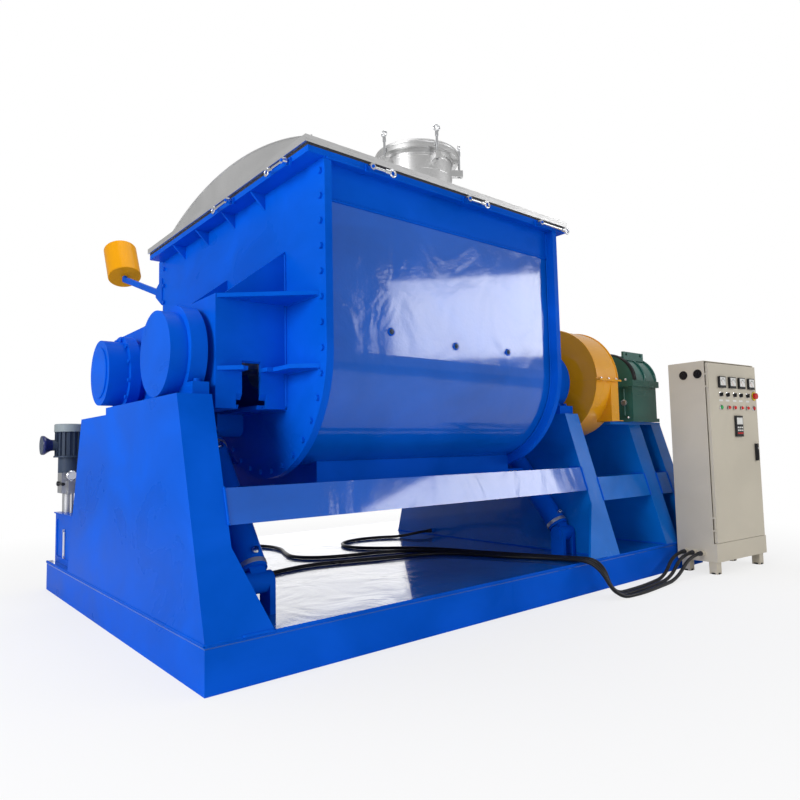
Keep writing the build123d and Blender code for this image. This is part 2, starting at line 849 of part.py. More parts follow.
def arm_section(x, y, turn, length, both_ways):
    """Arm across the shaft: a tapered bar from the hub to the tip circle."""
    half_tip = blade_tip_width / 2
    shoulder = sqrt(blade_tip**2 - half_tip**2)
    with BuildSketch(radial_plane(x, y, turn)) as section:
        Circle(hub_radius)
        for way in ((1, -1) if both_ways else (1,)):
            with BuildLine():
                Polyline(
                    (0, -way * hub_radius * 0.95),
                    (way * shoulder, -way * half_tip),
                )
                ThreePointArc(
                    (way * shoulder, -way * half_tip), (way * blade_tip, 0),
                    (way * shoulder, way * half_tip),
                )
                Polyline(
                    (way * shoulder, way * half_tip),
                    (0, way * hub_radius * 0.95),
                    (0, -way * hub_radius * 0.95),
                )
            make_face()
    return extrude(section.sketch, amount=length)


def sigma_rotor(y, hand, left_x, right_x):
    """Whole rotor: two shaft ends and the bent blade between them."""
    middle_left = blade_mid - arm_thickness / 2
    middle_right = blade_mid + arm_thickness / 2
    right_arm = blade_right - arm_thickness
    with BuildPart() as rotor:
        add(arm_section(blade_left, y, 90, arm_thickness, False))
        add(arm_section(middle_left, y, 90 + hand * blade_twist, arm_thickness, True))
        add(arm_section(right_arm, y, 270, arm_thickness, False))
        wings = (
            (blade_left + 6, middle_right - 6, 90, 90 + hand * blade_twist),
            (middle_left + 6, blade_right - 6, 270 + hand * blade_twist, 270),
        )
        for start, end, from_turn, to_turn in wings:
            sections = []
            for number in range(blade_stations):
                share = number / (blade_stations - 1)
                turn = from_turn + (to_turn - from_turn) * share
                sections.append(wing_section(start + (end - start) * share, y, turn))
            loft(sections)
        with Locations(along_x(left_x, y, shaft_z)):
            Cylinder(shaft_radius, blade_left - left_x + 5, align=BASE)
        with Locations(along_x(blade_right - 5, y, shaft_z)):
            Cylinder(shaft_radius, right_x - blade_right + 5, align=BASE)
    return rotor.part


coupling_left = guard_x + 12
coupling_right = guard_x + guard_length - 12
coupling_mid = (coupling_left + coupling_right) / 2
finish(sigma_rotor(front_shaft_y, 1, left_end + 30, coupling_mid - shaft_end_gap / 2), "front_rotor")
finish(sigma_rotor(rear_shaft_y, -1, left_end + 10, boss_right - 18), "rear_rotor")

# Flanged coupling between the front rotor and the reducer's output shaft, with that shaft
with BuildPart() as drive_coupling:
    with Locations(along_x(coupling_left, front_shaft_y, shaft_z)):
        Cylinder(coupling_hub_radius, coupling_right - coupling_left, align=BASE)
    with Locations(along_x(coupling_mid - coupling_flange, front_shaft_y, shaft_z)):
        Cylinder(coupling_radius, 2 * coupling_flange, align=BASE)
    with Locations(along_x(coupling_left, front_shaft_y, shaft_z)):
        Cylinder(
            shaft_radius + running_gap, coupling_right - coupling_left,
            align=BASE, mode=Mode.SUBTRACT,
        )
    with Locations(along_x(coupling_mid + shaft_end_gap / 2, front_shaft_y, shaft_z)):
        Cylinder(shaft_radius, reducer_x + shaft_seat - 5 - coupling_mid - shaft_end_gap / 2, align=BASE)
finish(drive_coupling.part, "drive_coupling")

# Cradle under the bowl: a box beam whose top follows the jacket and clears the end plate
cradle_beyond = 815
with BuildPart() as cradle_void:
    with Locations((cradle_left + shell_plate, cradle_front_y + shell_plate, cradle_low + shell_plate)):
        Box(
            inner_right - cradle_left - 2 * shell_plate, cradle_depth - 2 * shell_plate,
            shaft_z - 400 - cradle_low - 2 * shell_plate, align=LOW,
        )
    extrude(
        bowl_face(cradle_left, jacket_radius + shell_plate, rim_low),
        amount=inner_right - cradle_left,
        mode=Mode.SUBTRACT,
    )
with BuildPart() as tilt_cradle:
    with Locations((cradle_left, cradle_front_y, cradle_low)):
        Box(cradle_right - cradle_left, cradle_depth, shaft_z - 400 - cradle_low, align=LOW)
    extrude(
        bowl_face(cradle_left, jacket_radius + seat_gap, rim_low),
        amount=inner_right - cradle_left,
        mode=Mode.SUBTRACT,
    )
    with Locations((inner_right - seat_gap, cradle_front_y, cradle_beyond)):
        Box(
            cradle_right - inner_right + seat_gap, cradle_depth, shaft_z,
            align=LOW, mode=Mode.SUBTRACT,
        )
    add(cradle_void.part, mode=Mode.SUBTRACT)
finish(tilt_cradle.part, "tilt_cradle")

# Reducer: hollow ribbed case below the shafts' height, cover above it, parted by a bolted flange
reducer_length = reducer_far_y - reducer_near_y
reducer_head_y = reducer_near_y + reducer_cover_height
reducer_tail_y = reducer_far_y - reducer_tail_radius
reducer_rib_places = (150, 560, 900, 1250, 1600)


def reducer_shaft_places(x):
    """Places on the output and the input shaft at x, with each boss radius and shaft radius."""
    return (
        (along_x(x, front_shaft_y, shaft_z), output_boss_radius, shaft_radius),
        (along_x(x, motor_y, shaft_z), input_boss_radius, motor_shaft_radius),
    )


def reducer_bosses():
    """Bearing bosses of both shafts, through the reducer's left wall."""
    with BuildPart() as bosses:
        for place, radius, _ in reducer_shaft_places(reducer_x - reducer_boss):
            with Locations(place):
                Cylinder(radius, reducer_boss + shaft_seat, align=BASE)
    return bosses.part


def reducer_bores():
    """Bores of both shafts, open to the left."""
    with BuildPart() as bores:
        for place, _, radius in reducer_shaft_places(reducer_x - reducer_boss):
            with Locations(place):
                Cylinder(radius + running_gap, reducer_boss + shaft_seat, align=BASE)
    return bores.part


def cover_face(x, inset):
    """Side view of the whole cover: a round head and tail under straight tops."""
    head = reducer_cover_height - inset
    tail = reducer_tail_radius - inset
    with BuildSketch(Plane.YZ.offset(x)) as outline:
        with Locations((reducer_head_y, shaft_z)):
            Circle(head)
        with Locations((reducer_tail_y, shaft_z)):
            Circle(tail)
        with BuildLine():
            Polyline(
                (reducer_head_y, shaft_z),
                (reducer_head_y, shaft_z + head),
                (reducer_head_y + reducer_flat_length, shaft_z + head),
                (reducer_tail_y, shaft_z + tail),
                (reducer_tail_y, shaft_z),
                close=True,
            )
        make_face()
    return outline.sketch


inner_width = reducer_width - 2 * reducer_wall
with BuildPart() as reducer_case:
    with Locations((reducer_x, reducer_near_y + 10, table_top)):
        Box(reducer_width, reducer_length - 20, shaft_z - table_top, align=LOW)
    with Locations((reducer_x - 20, reducer_near_y, table_top)):
        Box(reducer_width + 40, reducer_length, 28, align=LOW)
    with Locations((reducer_x - 20, reducer_near_y - 8, shaft_z - reducer_split_flange)):
        Box(reducer_width + 40, reducer_length + 16, reducer_split_flange, align=LOW)
    for place in reducer_rib_places:
        with Locations((reducer_x - 16, reducer_near_y + place, table_top)):
            Box(reducer_width + 32, 18, shaft_z - table_top - reducer_split_flange, align=LOW)
    with Locations((reducer_x + reducer_wall, reducer_near_y + 10 + reducer_wall, table_top + 28)):
        Box(
            inner_width, reducer_length - 20 - 2 * reducer_wall, shaft_z - table_top,
            align=LOW, mode=Mode.SUBTRACT,
        )
    add(reducer_bosses())
    with Locations((reducer_x - 2 * reducer_boss, reducer_near_y - 8, shaft_z)):
        Box(
            reducer_width + 100, reducer_length + 16, table_top,
            align=LOW, mode=Mode.SUBTRACT,
        )
    add(reducer_bores(), mode=Mode.SUBTRACT)
finish(reducer_case.part, "reducer_case")

with BuildPart() as reducer_cover:
    extrude(cover_face(reducer_x, 0), amount=reducer_width)
    with Locations((reducer_x - 20, reducer_near_y - 8, shaft_z + seat_gap)):
        Box(reducer_width + 40, reducer_length + 16, reducer_split_flange, align=LOW)
    extrude(cover_face(reducer_x + reducer_wall, reducer_wall), amount=inner_width, mode=Mode.SUBTRACT)
    add(reducer_bosses())
    with Locations((reducer_x + 30, front_edge + 292, shaft_z + 200)):
        Box(reducer_width - 60, 18, 68, align=LOW)
    with Locations(
        along_y(reducer_x + 75, front_edge + 280, shaft_z + 245),
        along_y(reducer_x + reducer_width - 75, front_edge + 280, shaft_z + 245),
    ):
        Cylinder(14, 40, align=BASE, mode=Mode.SUBTRACT)
    with Locations((reducer_x + reducer_width / 2, reducer_head_y + 330, shaft_z + reducer_cover_height)):
        Cylinder(16, 45, align=BASE)
    with Locations((reducer_x - 2 * reducer_boss, reducer_near_y - 8, shaft_z + seat_gap - table_top)):
        Box(reducer_width + 100, reducer_length + 16, table_top, align=LOW, mode=Mode.SUBTRACT)
    add(reducer_bores(), mode=Mode.SUBTRACT)
finish(reducer_cover.part, "reducer_cover")

# Round sheet guard over the coupling, split at the shaft's height
guard_hole = coupling_hub_radius + 15
skirt_x = guard_x + guard_length - 100


def guard_drum(radius, x, length):
    """Disc of the guard about the front shaft."""
    with BuildPart() as drum:
        with Locations(along_x(x, front_shaft_y, shaft_z)):
            Cylinder(radius, length, align=BASE)
    return drum.part


def split_flange(low):
    """Pair of strips along the guard's split, one on each side."""
    with BuildPart() as strips:
        for side in (-1, 1):
            middle = front_shaft_y + side * (guard_radius - guard_sheet / 2 + guard_flange / 2)
            with Locations((guard_x, middle, low)):
                Box(
                    guard_length, guard_flange + guard_sheet, guard_sheet,
                    align=(Align.MIN, Align.CENTER, Align.MIN),
                )
    return strips.part


with BuildPart() as guard_upper:
    add(guard_drum(guard_radius, guard_x, guard_length))
    add(split_flange(shaft_z))
    add(guard_drum(guard_radius - guard_sheet, guard_x + guard_sheet, guard_length - 2 * guard_sheet),
        mode=Mode.SUBTRACT)
    add(guard_drum(guard_hole, guard_x, guard_length), mode=Mode.SUBTRACT)
    with Locations((guard_x, front_shaft_y, shaft_z - guard_radius)):
        Box(
            guard_length, 3 * guard_radius, guard_radius,
            align=(Align.MIN, Align.CENTER, Align.MIN), mode=Mode.SUBTRACT,
        )
finish(guard_upper.part, "guard_upper")

with BuildPart() as guard_lower:
    add(guard_drum(guard_radius, guard_x, guard_length))
    with Locations((skirt_x, front_shaft_y, table_top + seat_gap)):
        Box(
            guard_x + guard_length - skirt_x, 2 * guard_radius, shaft_z - table_top,
            align=(Align.MIN, Align.CENTER, Align.MIN),
        )
    with Locations((guard_x + guard_length - guard_sheet, front_shaft_y, table_top + seat_gap)):
        Box(60, 2 * guard_radius, guard_sheet, align=(Align.MIN, Align.CENTER, Align.MIN))
    add(guard_drum(guard_radius - guard_sheet, guard_x + guard_sheet, guard_length - 2 * guard_sheet),
        mode=Mode.SUBTRACT)
    with Locations((skirt_x + guard_sheet, front_shaft_y, table_top)):
        Box(
            guard_x + guard_length - skirt_x - 2 * guard_sheet, 2 * (guard_radius - guard_sheet),
            shaft_z - table_top, align=(Align.MIN, Align.CENTER, Align.MIN), mode=Mode.SUBTRACT,
        )
    with Locations((guard_x, front_shaft_y, shaft_z - seat_gap)):
        Box(
            guard_length, 3 * guard_radius, 2 * guard_radius,
            align=(Align.MIN, Align.CENTER, Align.MIN), mode=Mode.SUBTRACT,
        )
    add(split_flange(shaft_z - seat_gap - guard_sheet))
    add(guard_drum(guard_hole, guard_x, guard_length), mode=Mode.SUBTRACT)
finish(guard_lower.part, "guard_lower")

# Drive motor on a plinth at the back of the table: finned body, end shields, feet, terminal box
plinth_top = table_top + 80
motor_right = motor_x + motor_length
motor_foot_x = column_1_right + 20
with BuildPart() as drive_motor:
    with Locations(along_x(motor_x, motor_y, shaft_z)):
        Cylinder(motor_radius - 8, 110, align=BASE)
    with Locations(along_x(motor_x + 110, motor_y, shaft_z)):
        Cylinder(motor_radius - 22, motor_length - 160, align=BASE)
    with BuildSketch(Plane.YZ.offset(motor_x + 118)):
        with Locations((motor_y, shaft_z)):
            with PolarLocations(motor_radius - 16, motor_fin_count):
                Rectangle(32, 7)
    extrude(amount=motor_length - 180)
    with Locations(along_x(motor_right - 50, motor_y, shaft_z)):
        Cylinder(motor_radius - 14, 35, align=BASE)
        Cylinder(95, 50, align=BASE)
    with Locations((motor_foot_x, motor_y, table_top)):
        Box(motor_right - 30 - motor_foot_x, 380, 80, align=(Align.MIN, Align.CENTER, Align.MIN))
    with Locations((motor_foot_x + 10, motor_y, plinth_top)):
        Box(motor_right - 60 - motor_foot_x, 320, 60, align=(Align.MIN, Align.CENTER, Align.MIN))
    with Locations((motor_x + 240, motor_y, shaft_z + motor_radius - 30)):
        Box(170, 150, 95, align=(Align.MIN, Align.CENTER, Align.MIN))
    with Locations(along_x(motor_right - 80, motor_y, shaft_z)):
        Cylinder(motor_shaft_radius + running_gap, 80, align=BASE, mode=Mode.SUBTRACT)
finish(drive_motor.part, "drive_motor")

# Flexible coupling with the motor's and the reducer's shaft ends
hub_left = motor_right + 30
hub_right = reducer_x - reducer_boss - 20
hub_mid = (hub_left + hub_right) / 2
with BuildPart() as motor_coupling:
    with Locations(along_x(hub_left, motor_y, shaft_z)):
        Cylinder(motor_coupling_radius * 0.7, hub_right - hub_left, align=BASE)
    with Locations(along_x(hub_mid - 26, motor_y, shaft_z), along_x(hub_mid + 4, motor_y, shaft_z)):
        Cylinder(motor_coupling_radius, 22, align=BASE)
    with Locations(along_x(motor_right - 70, motor_y, shaft_z)):
        Cylinder(motor_shaft_radius, reducer_x + shaft_seat - 5 - motor_right + 70, align=BASE)
finish(motor_coupling.part, "motor_coupling")

# Lid: a flange frame under a long vault with upright ends
gasket_low = rim_top + seat_gap
flange_low = gasket_low + gasket_thickness
lid_left = rim_left - lid_overhang_x
lid_right = rim_right + lid_overhang_x
lid_front = trough_mid_y - rim_half_y - 5
lid_rear = trough_mid_y + rim_half_y
vault_left = lid_left + vault_side + 16
vault_right = lid_right - vault_side - 16


def vault_face(x, inset):
    """Cross-section under the vault's arc, drawn in by an inset."""
    with BuildSketch(Plane.YZ.offset(x)) as section:
        with BuildLine():
            Line((vault_front[0], lid_top), vault_front)
            ThreePointArc(vault_front, vault_crown, vault_rear)
            Line(vault_rear, (vault_front[0], lid_top))
        make_face()
        if inset:
            offset(amount=-inset, kind=Kind.INTERSECTION)
    return section.sketch


with BuildPart() as lid_shell:
    with Locations((lid_left, lid_front, flange_low)):
        Box(lid_right - lid_left, lid_rear - lid_front, lid_flange_height, align=LOW)
    extrude(vault_face(vault_left, 0), amount=vault_right - vault_left)
    extrude(
        vault_face(vault_left + lid_sheet, lid_sheet),
        amount=vault_right - vault_left - 2 * lid_sheet,
        mode=Mode.SUBTRACT,
    )
    with Locations((inner_left, trough_mid_y - bowl_half_y, flange_low)):
        Box(
            trough_inner_length, vault_rear[0] - 60 - trough_mid_y + bowl_half_y,
            lid_flange_height + lid_sheet + 3, align=LOW, mode=Mode.SUBTRACT,
        )
    with Locations((manhole_x, manhole_y, lid_top)):
        Cylinder(neck_radius + seat_gap, neck_top - lid_top, align=BASE, mode=Mode.SUBTRACT)
finish(lid_shell.part, "lid_shell")

with BuildPart() as lid_gasket:
    with Locations((rim_left, lid_front + 5, gasket_low)):
        Box(rim_right - rim_left, lid_rear - lid_front - 5, gasket_thickness, align=LOW)
    with Locations((inner_left, trough_mid_y - bowl_half_y, gasket_low)):
        Box(trough_inner_length, 2 * bowl_half_y, gasket_thickness, align=LOW, mode=Mode.SUBTRACT)
finish(lid_gasket.part, "lid_gasket")

# Lid arms: hooked over the rear edge, pivoted on the hinge pins, carried on to the weights
hook_y = lid_pivot_y + 50
arm_start = (lid_pivot_y + 38, lid_pivot_z + 5)
arm_run = hypot(arm_end[0] - arm_start[0], arm_end[1] - arm_start[1])
arm_dy = (arm_end[0] - arm_start[0]) / arm_run
arm_dz = (arm_end[1] - arm_start[1]) / arm_run
arm_half = 22
bar_start = (arm_start[0] - arm_dy * 30, arm_start[1] - arm_dz * 30)
weight_bore = 20
with BuildPart() as lid_arms:
    for x in arm_positions:
        plane = Plane.YZ.offset(x - arm_thickness_lid / 2)
        hook = face_on(
            plane,
            (vault_rear[0] + 70, lid_top),
            (vault_rear[0] + 70, lid_top + 50),
            (lid_pivot_y - 60, lid_top + 50),
            (hook_y, lid_pivot_z + 240),
            (hook_y, lid_pivot_z),
            (hook_y - 92, lid_pivot_z),
            (hook_y - 92, lid_pivot_z + 225),
            (lid_rear + 8, lid_top),
        )
        extrude(hook, amount=arm_thickness_lid)
        bar = face_on(
            plane,
            (bar_start[0] + arm_dz * arm_half, bar_start[1] - arm_dy * arm_half),
            (arm_end[0] + arm_dz * arm_half, arm_end[1] - arm_dy * arm_half),
            (arm_end[0] - arm_dz * arm_half, arm_end[1] + arm_dy * arm_half),
            (bar_start[0] - arm_dz * arm_half, bar_start[1] + arm_dy * arm_half),
        )
        extrude(bar, amount=arm_thickness_lid)
        with Locations(along_x(x - arm_thickness_lid / 2, lid_pivot_y, lid_pivot_z)):
            Cylinder(50, arm_thickness_lid, align=BASE)
        with Locations(Location((x, *arm_end), (-weight_tilt, 0, 0))):
            Cylinder(weight_bore, weight_length - 20, align=BASE)
        with Locations(along_x(x - arm_thickness_lid / 2, *arm_end)):
            Cylinder(arm_half, arm_thickness_lid, align=BASE)
        with Locations(along_x(x - arm_thickness_lid / 2, lid_pivot_y, lid_pivot_z)):
            Cylinder(lid_pin_radius + running_gap, arm_thickness_lid, align=BASE, mode=Mode.SUBTRACT)
finish(lid_arms.part, "lid_arms")

with BuildPart() as counterweights:
    for x in arm_positions:
        with Locations(Location((x, *arm_end), (-weight_tilt, 0, 0))):
            with Locations((0, 0, arm_half + 4)):
                Cylinder(weight_radius, weight_length - arm_half - 4, align=BASE)
            Cylinder(
                weight_bore + running_gap, weight_length - 20 + seat_gap,
                align=BASE, mode=Mode.SUBTRACT,
            )
finish(counterweights.part, "counterweights")

# Manhole: neck with a flange, lug blocks for its swing bolts and a hinge at the back
hinge_turn = radians(manhole_hinge_angle)
hinge_reach = manhole_flange_radius + 24
hinge_pin = (manhole_x + hinge_reach * cos(hinge_turn), manhole_y + hinge_reach * sin(hinge_turn), neck_top)
hinge_plane = Plane(
    origin=hinge_pin,
    x_dir=(cos(hinge_turn), sin(hinge_turn), 0),
    z_dir=(sin(hinge_turn), -cos(hinge_turn), 0),
)
neck_low = 2500
lug_z_low = neck_top - 95
with BuildPart() as manhole_neck:
    with Locations((manhole_x, manhole_y, neck_low)):
        Cylinder(neck_radius, neck_top - neck_low, align=BASE)
    with Locations((manhole_x, manhole_y, neck_top - manhole_flange)):
        Cylinder(manhole_flange_radius, manhole_flange, align=BASE)
    for angle in manhole_bolt_angles:
        with Locations(Location((manhole_x, manhole_y, lug_z_low), (0, 0, angle))):
            with Locations((neck_radius - 4, 0, 0)):
                Box(
                    manhole_bolt_circle - neck_radius + 24, 34, 40,
                    align=(Align.MIN, Align.CENTER, Align.MIN),
                )
            with Locations((manhole_bolt_circle, 0, 0)):
                Box(20.6, 16, 40, align=BASE, mode=Mode.SUBTRACT)
    for side in (-1, 1):
        ear = face_on(
            hinge_plane.offset(side * 22),
            (-60, -12), (12, -12), (12, 12), (-10, 12), (-10, -6), (-60, -6),
        )
        extrude(ear, amount=7, both=True)
    with Locations(Location(hinge_plane.offset(-29))):
        Cylinder(8, 58, align=BASE)
    with Locations((manhole_x, manhole_y, neck_low)):
        Cylinder(neck_radius - neck_wall, neck_top - neck_low, align=BASE, mode=Mode.SUBTRACT)
finish(manhole_neck.part, "manhole_neck")

cover_z = neck_top + seat_gap
with BuildPart() as manhole_cover:
    with Locations((manhole_x, manhole_y, cover_z)):
        Cylinder(manhole_flange_radius, manhole_flange, align=BASE)
    with Locations((manhole_x, manhole_y, cover_z + manhole_flange)):
        Cone(neck_radius, neck_radius - 70, 14, align=BASE)
    tongue = face_on(hinge_plane.offset(-14), (-60, 1), (0, 1), (0, manhole_flange), (-60, manhole_flange))
    extrude(tongue, amount=28)
    with Locations(Location(hinge_plane.offset(-14))):
        Cylinder(14, 28, align=BASE)
        Cylinder(8 + running_gap, 28, align=BASE, mode=Mode.SUBTRACT)
finish(manhole_cover.part, "manhole_cover")

with BuildPart() as manhole_bolts:
    for angle in manhole_bolt_angles:
        with Locations(Location((manhole_x, manhole_y, lug_z_low + 20), (0, 0, angle))):
            with Locations((manhole_bolt_circle, 0, 0)):
                Box(20, 15.4, 24)
                Cylinder(7, 150, align=BASE)
            with Locations((manhole_bolt_circle, 0, 118)):
                Cylinder(10, 26, align=BASE)
            with Locations(Location((manhole_bolt_circle, 0, 150 + ring_radius), (0, 90, 0))):
                Torus(ring_radius, ring_wire)
finish(manhole_bolts.part, "manhole_bolts")

# Swing bolts of the lid, stored along the rim: eye on its pin, shank, ring nut
front_bolts = ((836, 134), (1525, 151), (2172, 270))
left_bolts = ((136, 169), (762, 186))
bolt_z = 2372
bolt_out = 36
bolt_eye = 17
bolt_pin = 8
bolt_width = 22


def swing_bolt(plane, length):
    """Bolt that turns about the plane's Z axis and lies along its X axis."""
    with BuildPart(plane) as bolt:
        Cylinder(bolt_eye, bolt_width)
        with Locations(Location((0, 0, 0), (0, 90, 0))):
            Cylinder(7, length - ring_radius, align=BASE)
        with Locations(Location((length - ring_radius - 34, 0, 0), (0, 90, 0))):
            Cylinder(12, 26, align=BASE)
        with Locations((length, 0, 0)):
            Torus(ring_radius, ring_wire)
        Cylinder(bolt_pin + running_gap, bolt_width, mode=Mode.SUBTRACT)
    return bolt.part


rim_front = trough_mid_y - rim_half_y
bolt_pins = []
for number, (x, length) in enumerate(front_bolts, start=1):
    pin = (left_end + x, rim_front - bolt_out, bolt_z)
    bolt_pins.append((pin, (0, -1, 0)))
    finish(swing_bolt(Plane(origin=pin, x_dir=(1, 0, 0), z_dir=(0, -1, 0)), length), f"lid_bolt_front_{number}")
for number, (y, length) in enumerate(left_bolts, start=1):
    pin = (rim_left - bolt_out, front_edge + y, bolt_z)
    bolt_pins.append((pin, (-1, 0, 0)))
    finish(swing_bolt(Plane(origin=pin, x_dir=(0, 1, 0), z_dir=(-1, 0, 0)), length), f"lid_bolt_left_{number}")

# Pins of the swing bolts stand out of pads on the rim's edge
pad = 12
with BuildPart() as pinned_trough:
    add(trough_shell.part)
    for pin, out in bolt_pins:
        plane = Plane(origin=pin, z_dir=out)
        with BuildSketch(plane.offset(-bolt_out)):
            Rectangle(36, 36)
        extrude(amount=pad)
        with BuildSketch(plane.offset(-bolt_out)):
            Circle(bolt_pin)
        extrude(amount=bolt_out + bolt_width / 2 + 4)
finish(pinned_trough.part, "trough_shell")

# Tilting cylinders: barrels on floor clevises, rods up to the trough's lugs
cylinder_foot = cylinder_base
reach_y = lug_y - cylinder_foot[0]
reach_z = lug_z - cylinder_foot[1]
closed_length = hypot(reach_y, reach_z)
barrel_end = closed_length - 120
gland_nose = 34
barrel_bore = 58
barrel_floor = 85
eye_clear = cylinder_eye_radius + 8
print(f"tilting cylinder: closed {closed_length:.1f}, angle {degrees(atan2(reach_z, reach_y)):.2f}")


def cylinder_plane(x):
    """Plane whose Z axis runs up a tilting cylinder from its lower pin."""
    return Plane(
        origin=(x, *cylinder_foot),
        x_dir=(1, 0, 0),
        z_dir=(0, reach_y / closed_length, reach_z / closed_length),
    )


def barrel(x):
    """One cylinder barrel with its eye, bore and rod gland."""
    with BuildPart(cylinder_plane(x)) as tube:
        with Locations((0, 0, eye_clear)):
            Cylinder(barrel_radius, barrel_end - eye_clear, align=BASE)
        Box(cylinder_eye_width, 90, eye_clear + 5, align=BASE)
        with Locations(Location((-cylinder_eye_width / 2, 0, 0), (0, 90, 0))):
            Cylinder(cylinder_eye_radius, cylinder_eye_width, align=BASE)
        with Locations((0, 0, barrel_floor)):
            Cylinder(barrel_bore, barrel_end - barrel_floor - gland_nose, align=BASE, mode=Mode.SUBTRACT)
            Cylinder(rod_radius + running_gap, barrel_end - barrel_floor, align=BASE, mode=Mode.SUBTRACT)
        with Locations(Location((-cylinder_eye_width / 2, 0, 0), (0, 90, 0))):
            Cylinder(
                cylinder_pin_radius + running_gap, cylinder_eye_width,
                align=BASE, mode=Mode.SUBTRACT,
            )
    return tube.part


def rod(x):
    """One piston rod with its piston and upper eye."""
    with BuildPart(cylinder_plane(x)) as piston:
        with Locations((0, 0, barrel_floor + 8)):
            Cylinder(barrel_bore - running_gap, 50, align=BASE)
            Cylinder(rod_radius, closed_length - eye_clear - barrel_floor - 8, align=BASE)
        with Locations((0, 0, closed_length)):
            Box(cylinder_eye_width, 70, eye_clear + 5, align=(Align.CENTER, Align.CENTER, Align.MAX))
        with Locations(Location((-cylinder_eye_width / 2, 0, closed_length), (0, 90, 0))):
            Cylinder(cylinder_eye_radius, cylinder_eye_width, align=BASE)
            Cylinder(
                cylinder_pin_radius + running_gap, cylinder_eye_width,
                align=BASE, mode=Mode.SUBTRACT,
            )
    return piston.part


with BuildPart() as cylinder_barrels:
    for x in cylinder_x:
        add(barrel(x))
finish(cylinder_barrels.part, "cylinder_barrels")

with BuildPart() as cylinder_rods:
    for x in cylinder_x:
        add(rod(x))
finish(cylinder_rods.part, "cylinder_rods")

clevis_half = cylinder_eye_width / 2 + seat_gap
with BuildPart() as cylinder_clevises:
    for x in cylinder_x:
        for side in (-1, 1):
            plate_x = x + side * (clevis_half + lug_plate / 2)
            with BuildSketch(Plane.YZ.offset(plate_x)):
                with Locations((cylinder_foot[0], (base_height + cylinder_foot[1]) / 2)):
                    Rectangle(2 * cylinder_eye_radius, cylinder_foot[1] - base_height)
                with Locations(cylinder_foot):
                    Circle(cylinder_eye_radius)
            extrude(amount=lug_plate / 2, both=True)
        with Locations(along_x(x - clevis_half - lug_plate - 6, *cylinder_foot)):
            Cylinder(cylinder_pin_radius, 2 * (clevis_half + lug_plate + 6), align=BASE)
finish(cylinder_clevises.part, "cylinder_clevises")

# Hydraulic power unit: tank, upright motor, valve block with lever
tank_left_panel = 40
column_low = tank_top + 8
with BuildPart() as hydraulic_tank:
    with Locations((tank_x, tank_y, base_height)):
        Box(tank_length, tank_depth, tank_top - base_height, align=LOW)
    with Locations((tank_x - 10, tank_y - 10, tank_top)):
        Box(tank_length + 20, tank_depth + 20, 8, align=LOW)
    with Locations((tank_x, tank_y + tank_left_panel, base_height + tank_left_panel)):
        Box(6, tank_depth - 2 * tank_left_panel, tank_top - base_height - 2 * tank_left_panel,
            align=LOW, mode=Mode.SUBTRACT)
    with Locations((tank_x + tank_sheet + 6, tank_y + tank_sheet, base_height + tank_sheet)):
        Box(
            tank_length - 2 * tank_sheet - 6, tank_depth - 2 * tank_sheet,
            tank_top - base_height - 2 * tank_sheet, align=LOW, mode=Mode.SUBTRACT,
        )
    with Locations((tank_x + 70, tank_y + 170, column_low)):
        Cylinder(32, 38, align=BASE)
    add(cable_gland(along_x(tank_x + tank_length, tank_gland_y, deck_gland_z)))
finish(hydraulic_tank.part, "hydraulic_tank")

bell_low = pump_motor_low - 112
with BuildPart() as pump_motor:
    with Locations((pump_x, pump_y, pump_motor_low)):
        Cylinder(pump_motor_radius - 12, pump_motor_high - 50 - pump_motor_low, align=BASE)
        Cylinder(pump_motor_radius + 6, 12, align=BASE)
    with BuildSketch(Plane.XY.offset(pump_motor_low + 12)):
        with Locations((pump_x, pump_y)):
            with PolarLocations(pump_motor_radius - 10, 18):
                Rectangle(20, 5)
    extrude(amount=pump_motor_high - 66 - pump_motor_low)
    with Locations((pump_x, pump_y, pump_motor_high - 54)):
        Cylinder(pump_motor_radius + 2, 54, align=BASE)
    with Locations((pump_x, pump_y, bell_low)):
        Cylinder(70, pump_motor_low - bell_low, align=BASE)
    with Locations(Location((pump_x - 60, pump_y, pump_motor_low + 90), (0, -90, 0))):
        Cylinder(40, 60, align=BASE)
    with Locations(Location((pump_x - 120, pump_y, pump_motor_low + 90), (0, -90, 0))):
        Cone(40, 64, 45, align=BASE)
    with Locations(Location((pump_x - 165, pump_y, pump_motor_low + 90), (0, -90, 0))):
        Cylinder(68, 18, align=BASE)
finish(pump_motor.part, "pump_motor")

lever_pivot = (pump_x - 60, pump_y - 20, 770)
with BuildPart() as valve_block:
    with Locations((pump_x, pump_y, column_low)):
        Cylinder(38, 700 - column_low, align=BASE)
    with Locations((pump_x - 60, pump_y - 75, 700)):
        Box(130, 130, bell_low - 700, align=LOW)
    with Locations((pump_x + 45, pump_y - 120, column_low)):
        Cylinder(11, 780 - column_low, align=BASE)
    with Locations(Location((pump_x + 45, pump_y - 120, 780), (-90, 0, 0))):
        Cylinder(11, 60, align=BASE)
    with Locations((pump_x - 30, pump_y - 150, 700)):
        Box(60, 75, 90, align=LOW)
    with Locations((pump_x, pump_y - 112, column_low)):
        Cylinder(14, 700 - column_low, align=BASE)
    with Locations(Location(lever_pivot, (0, -90, 0))):
        Cylinder(9, 24, align=BASE)
finish(valve_block.part, "valve_block")

with BuildPart() as valve_lever:
    with Locations(Location(lever_pivot, (0, -90, 0))):
        with Locations((0, 0, 4)):
            Cylinder(17, 16, align=BASE)
        with Locations(Location((0, -12, 12), (90, 0, 0))):
            Cylinder(6, 120, align=BASE)
        with Locations(Location((0, -125, 12), (90, 0, 0))):
            Cylinder(12, 34, align=BASE)
        Cylinder(9 + running_gap, 24, align=BASE, mode=Mode.SUBTRACT)
finish(valve_lever.part, "valve_lever")

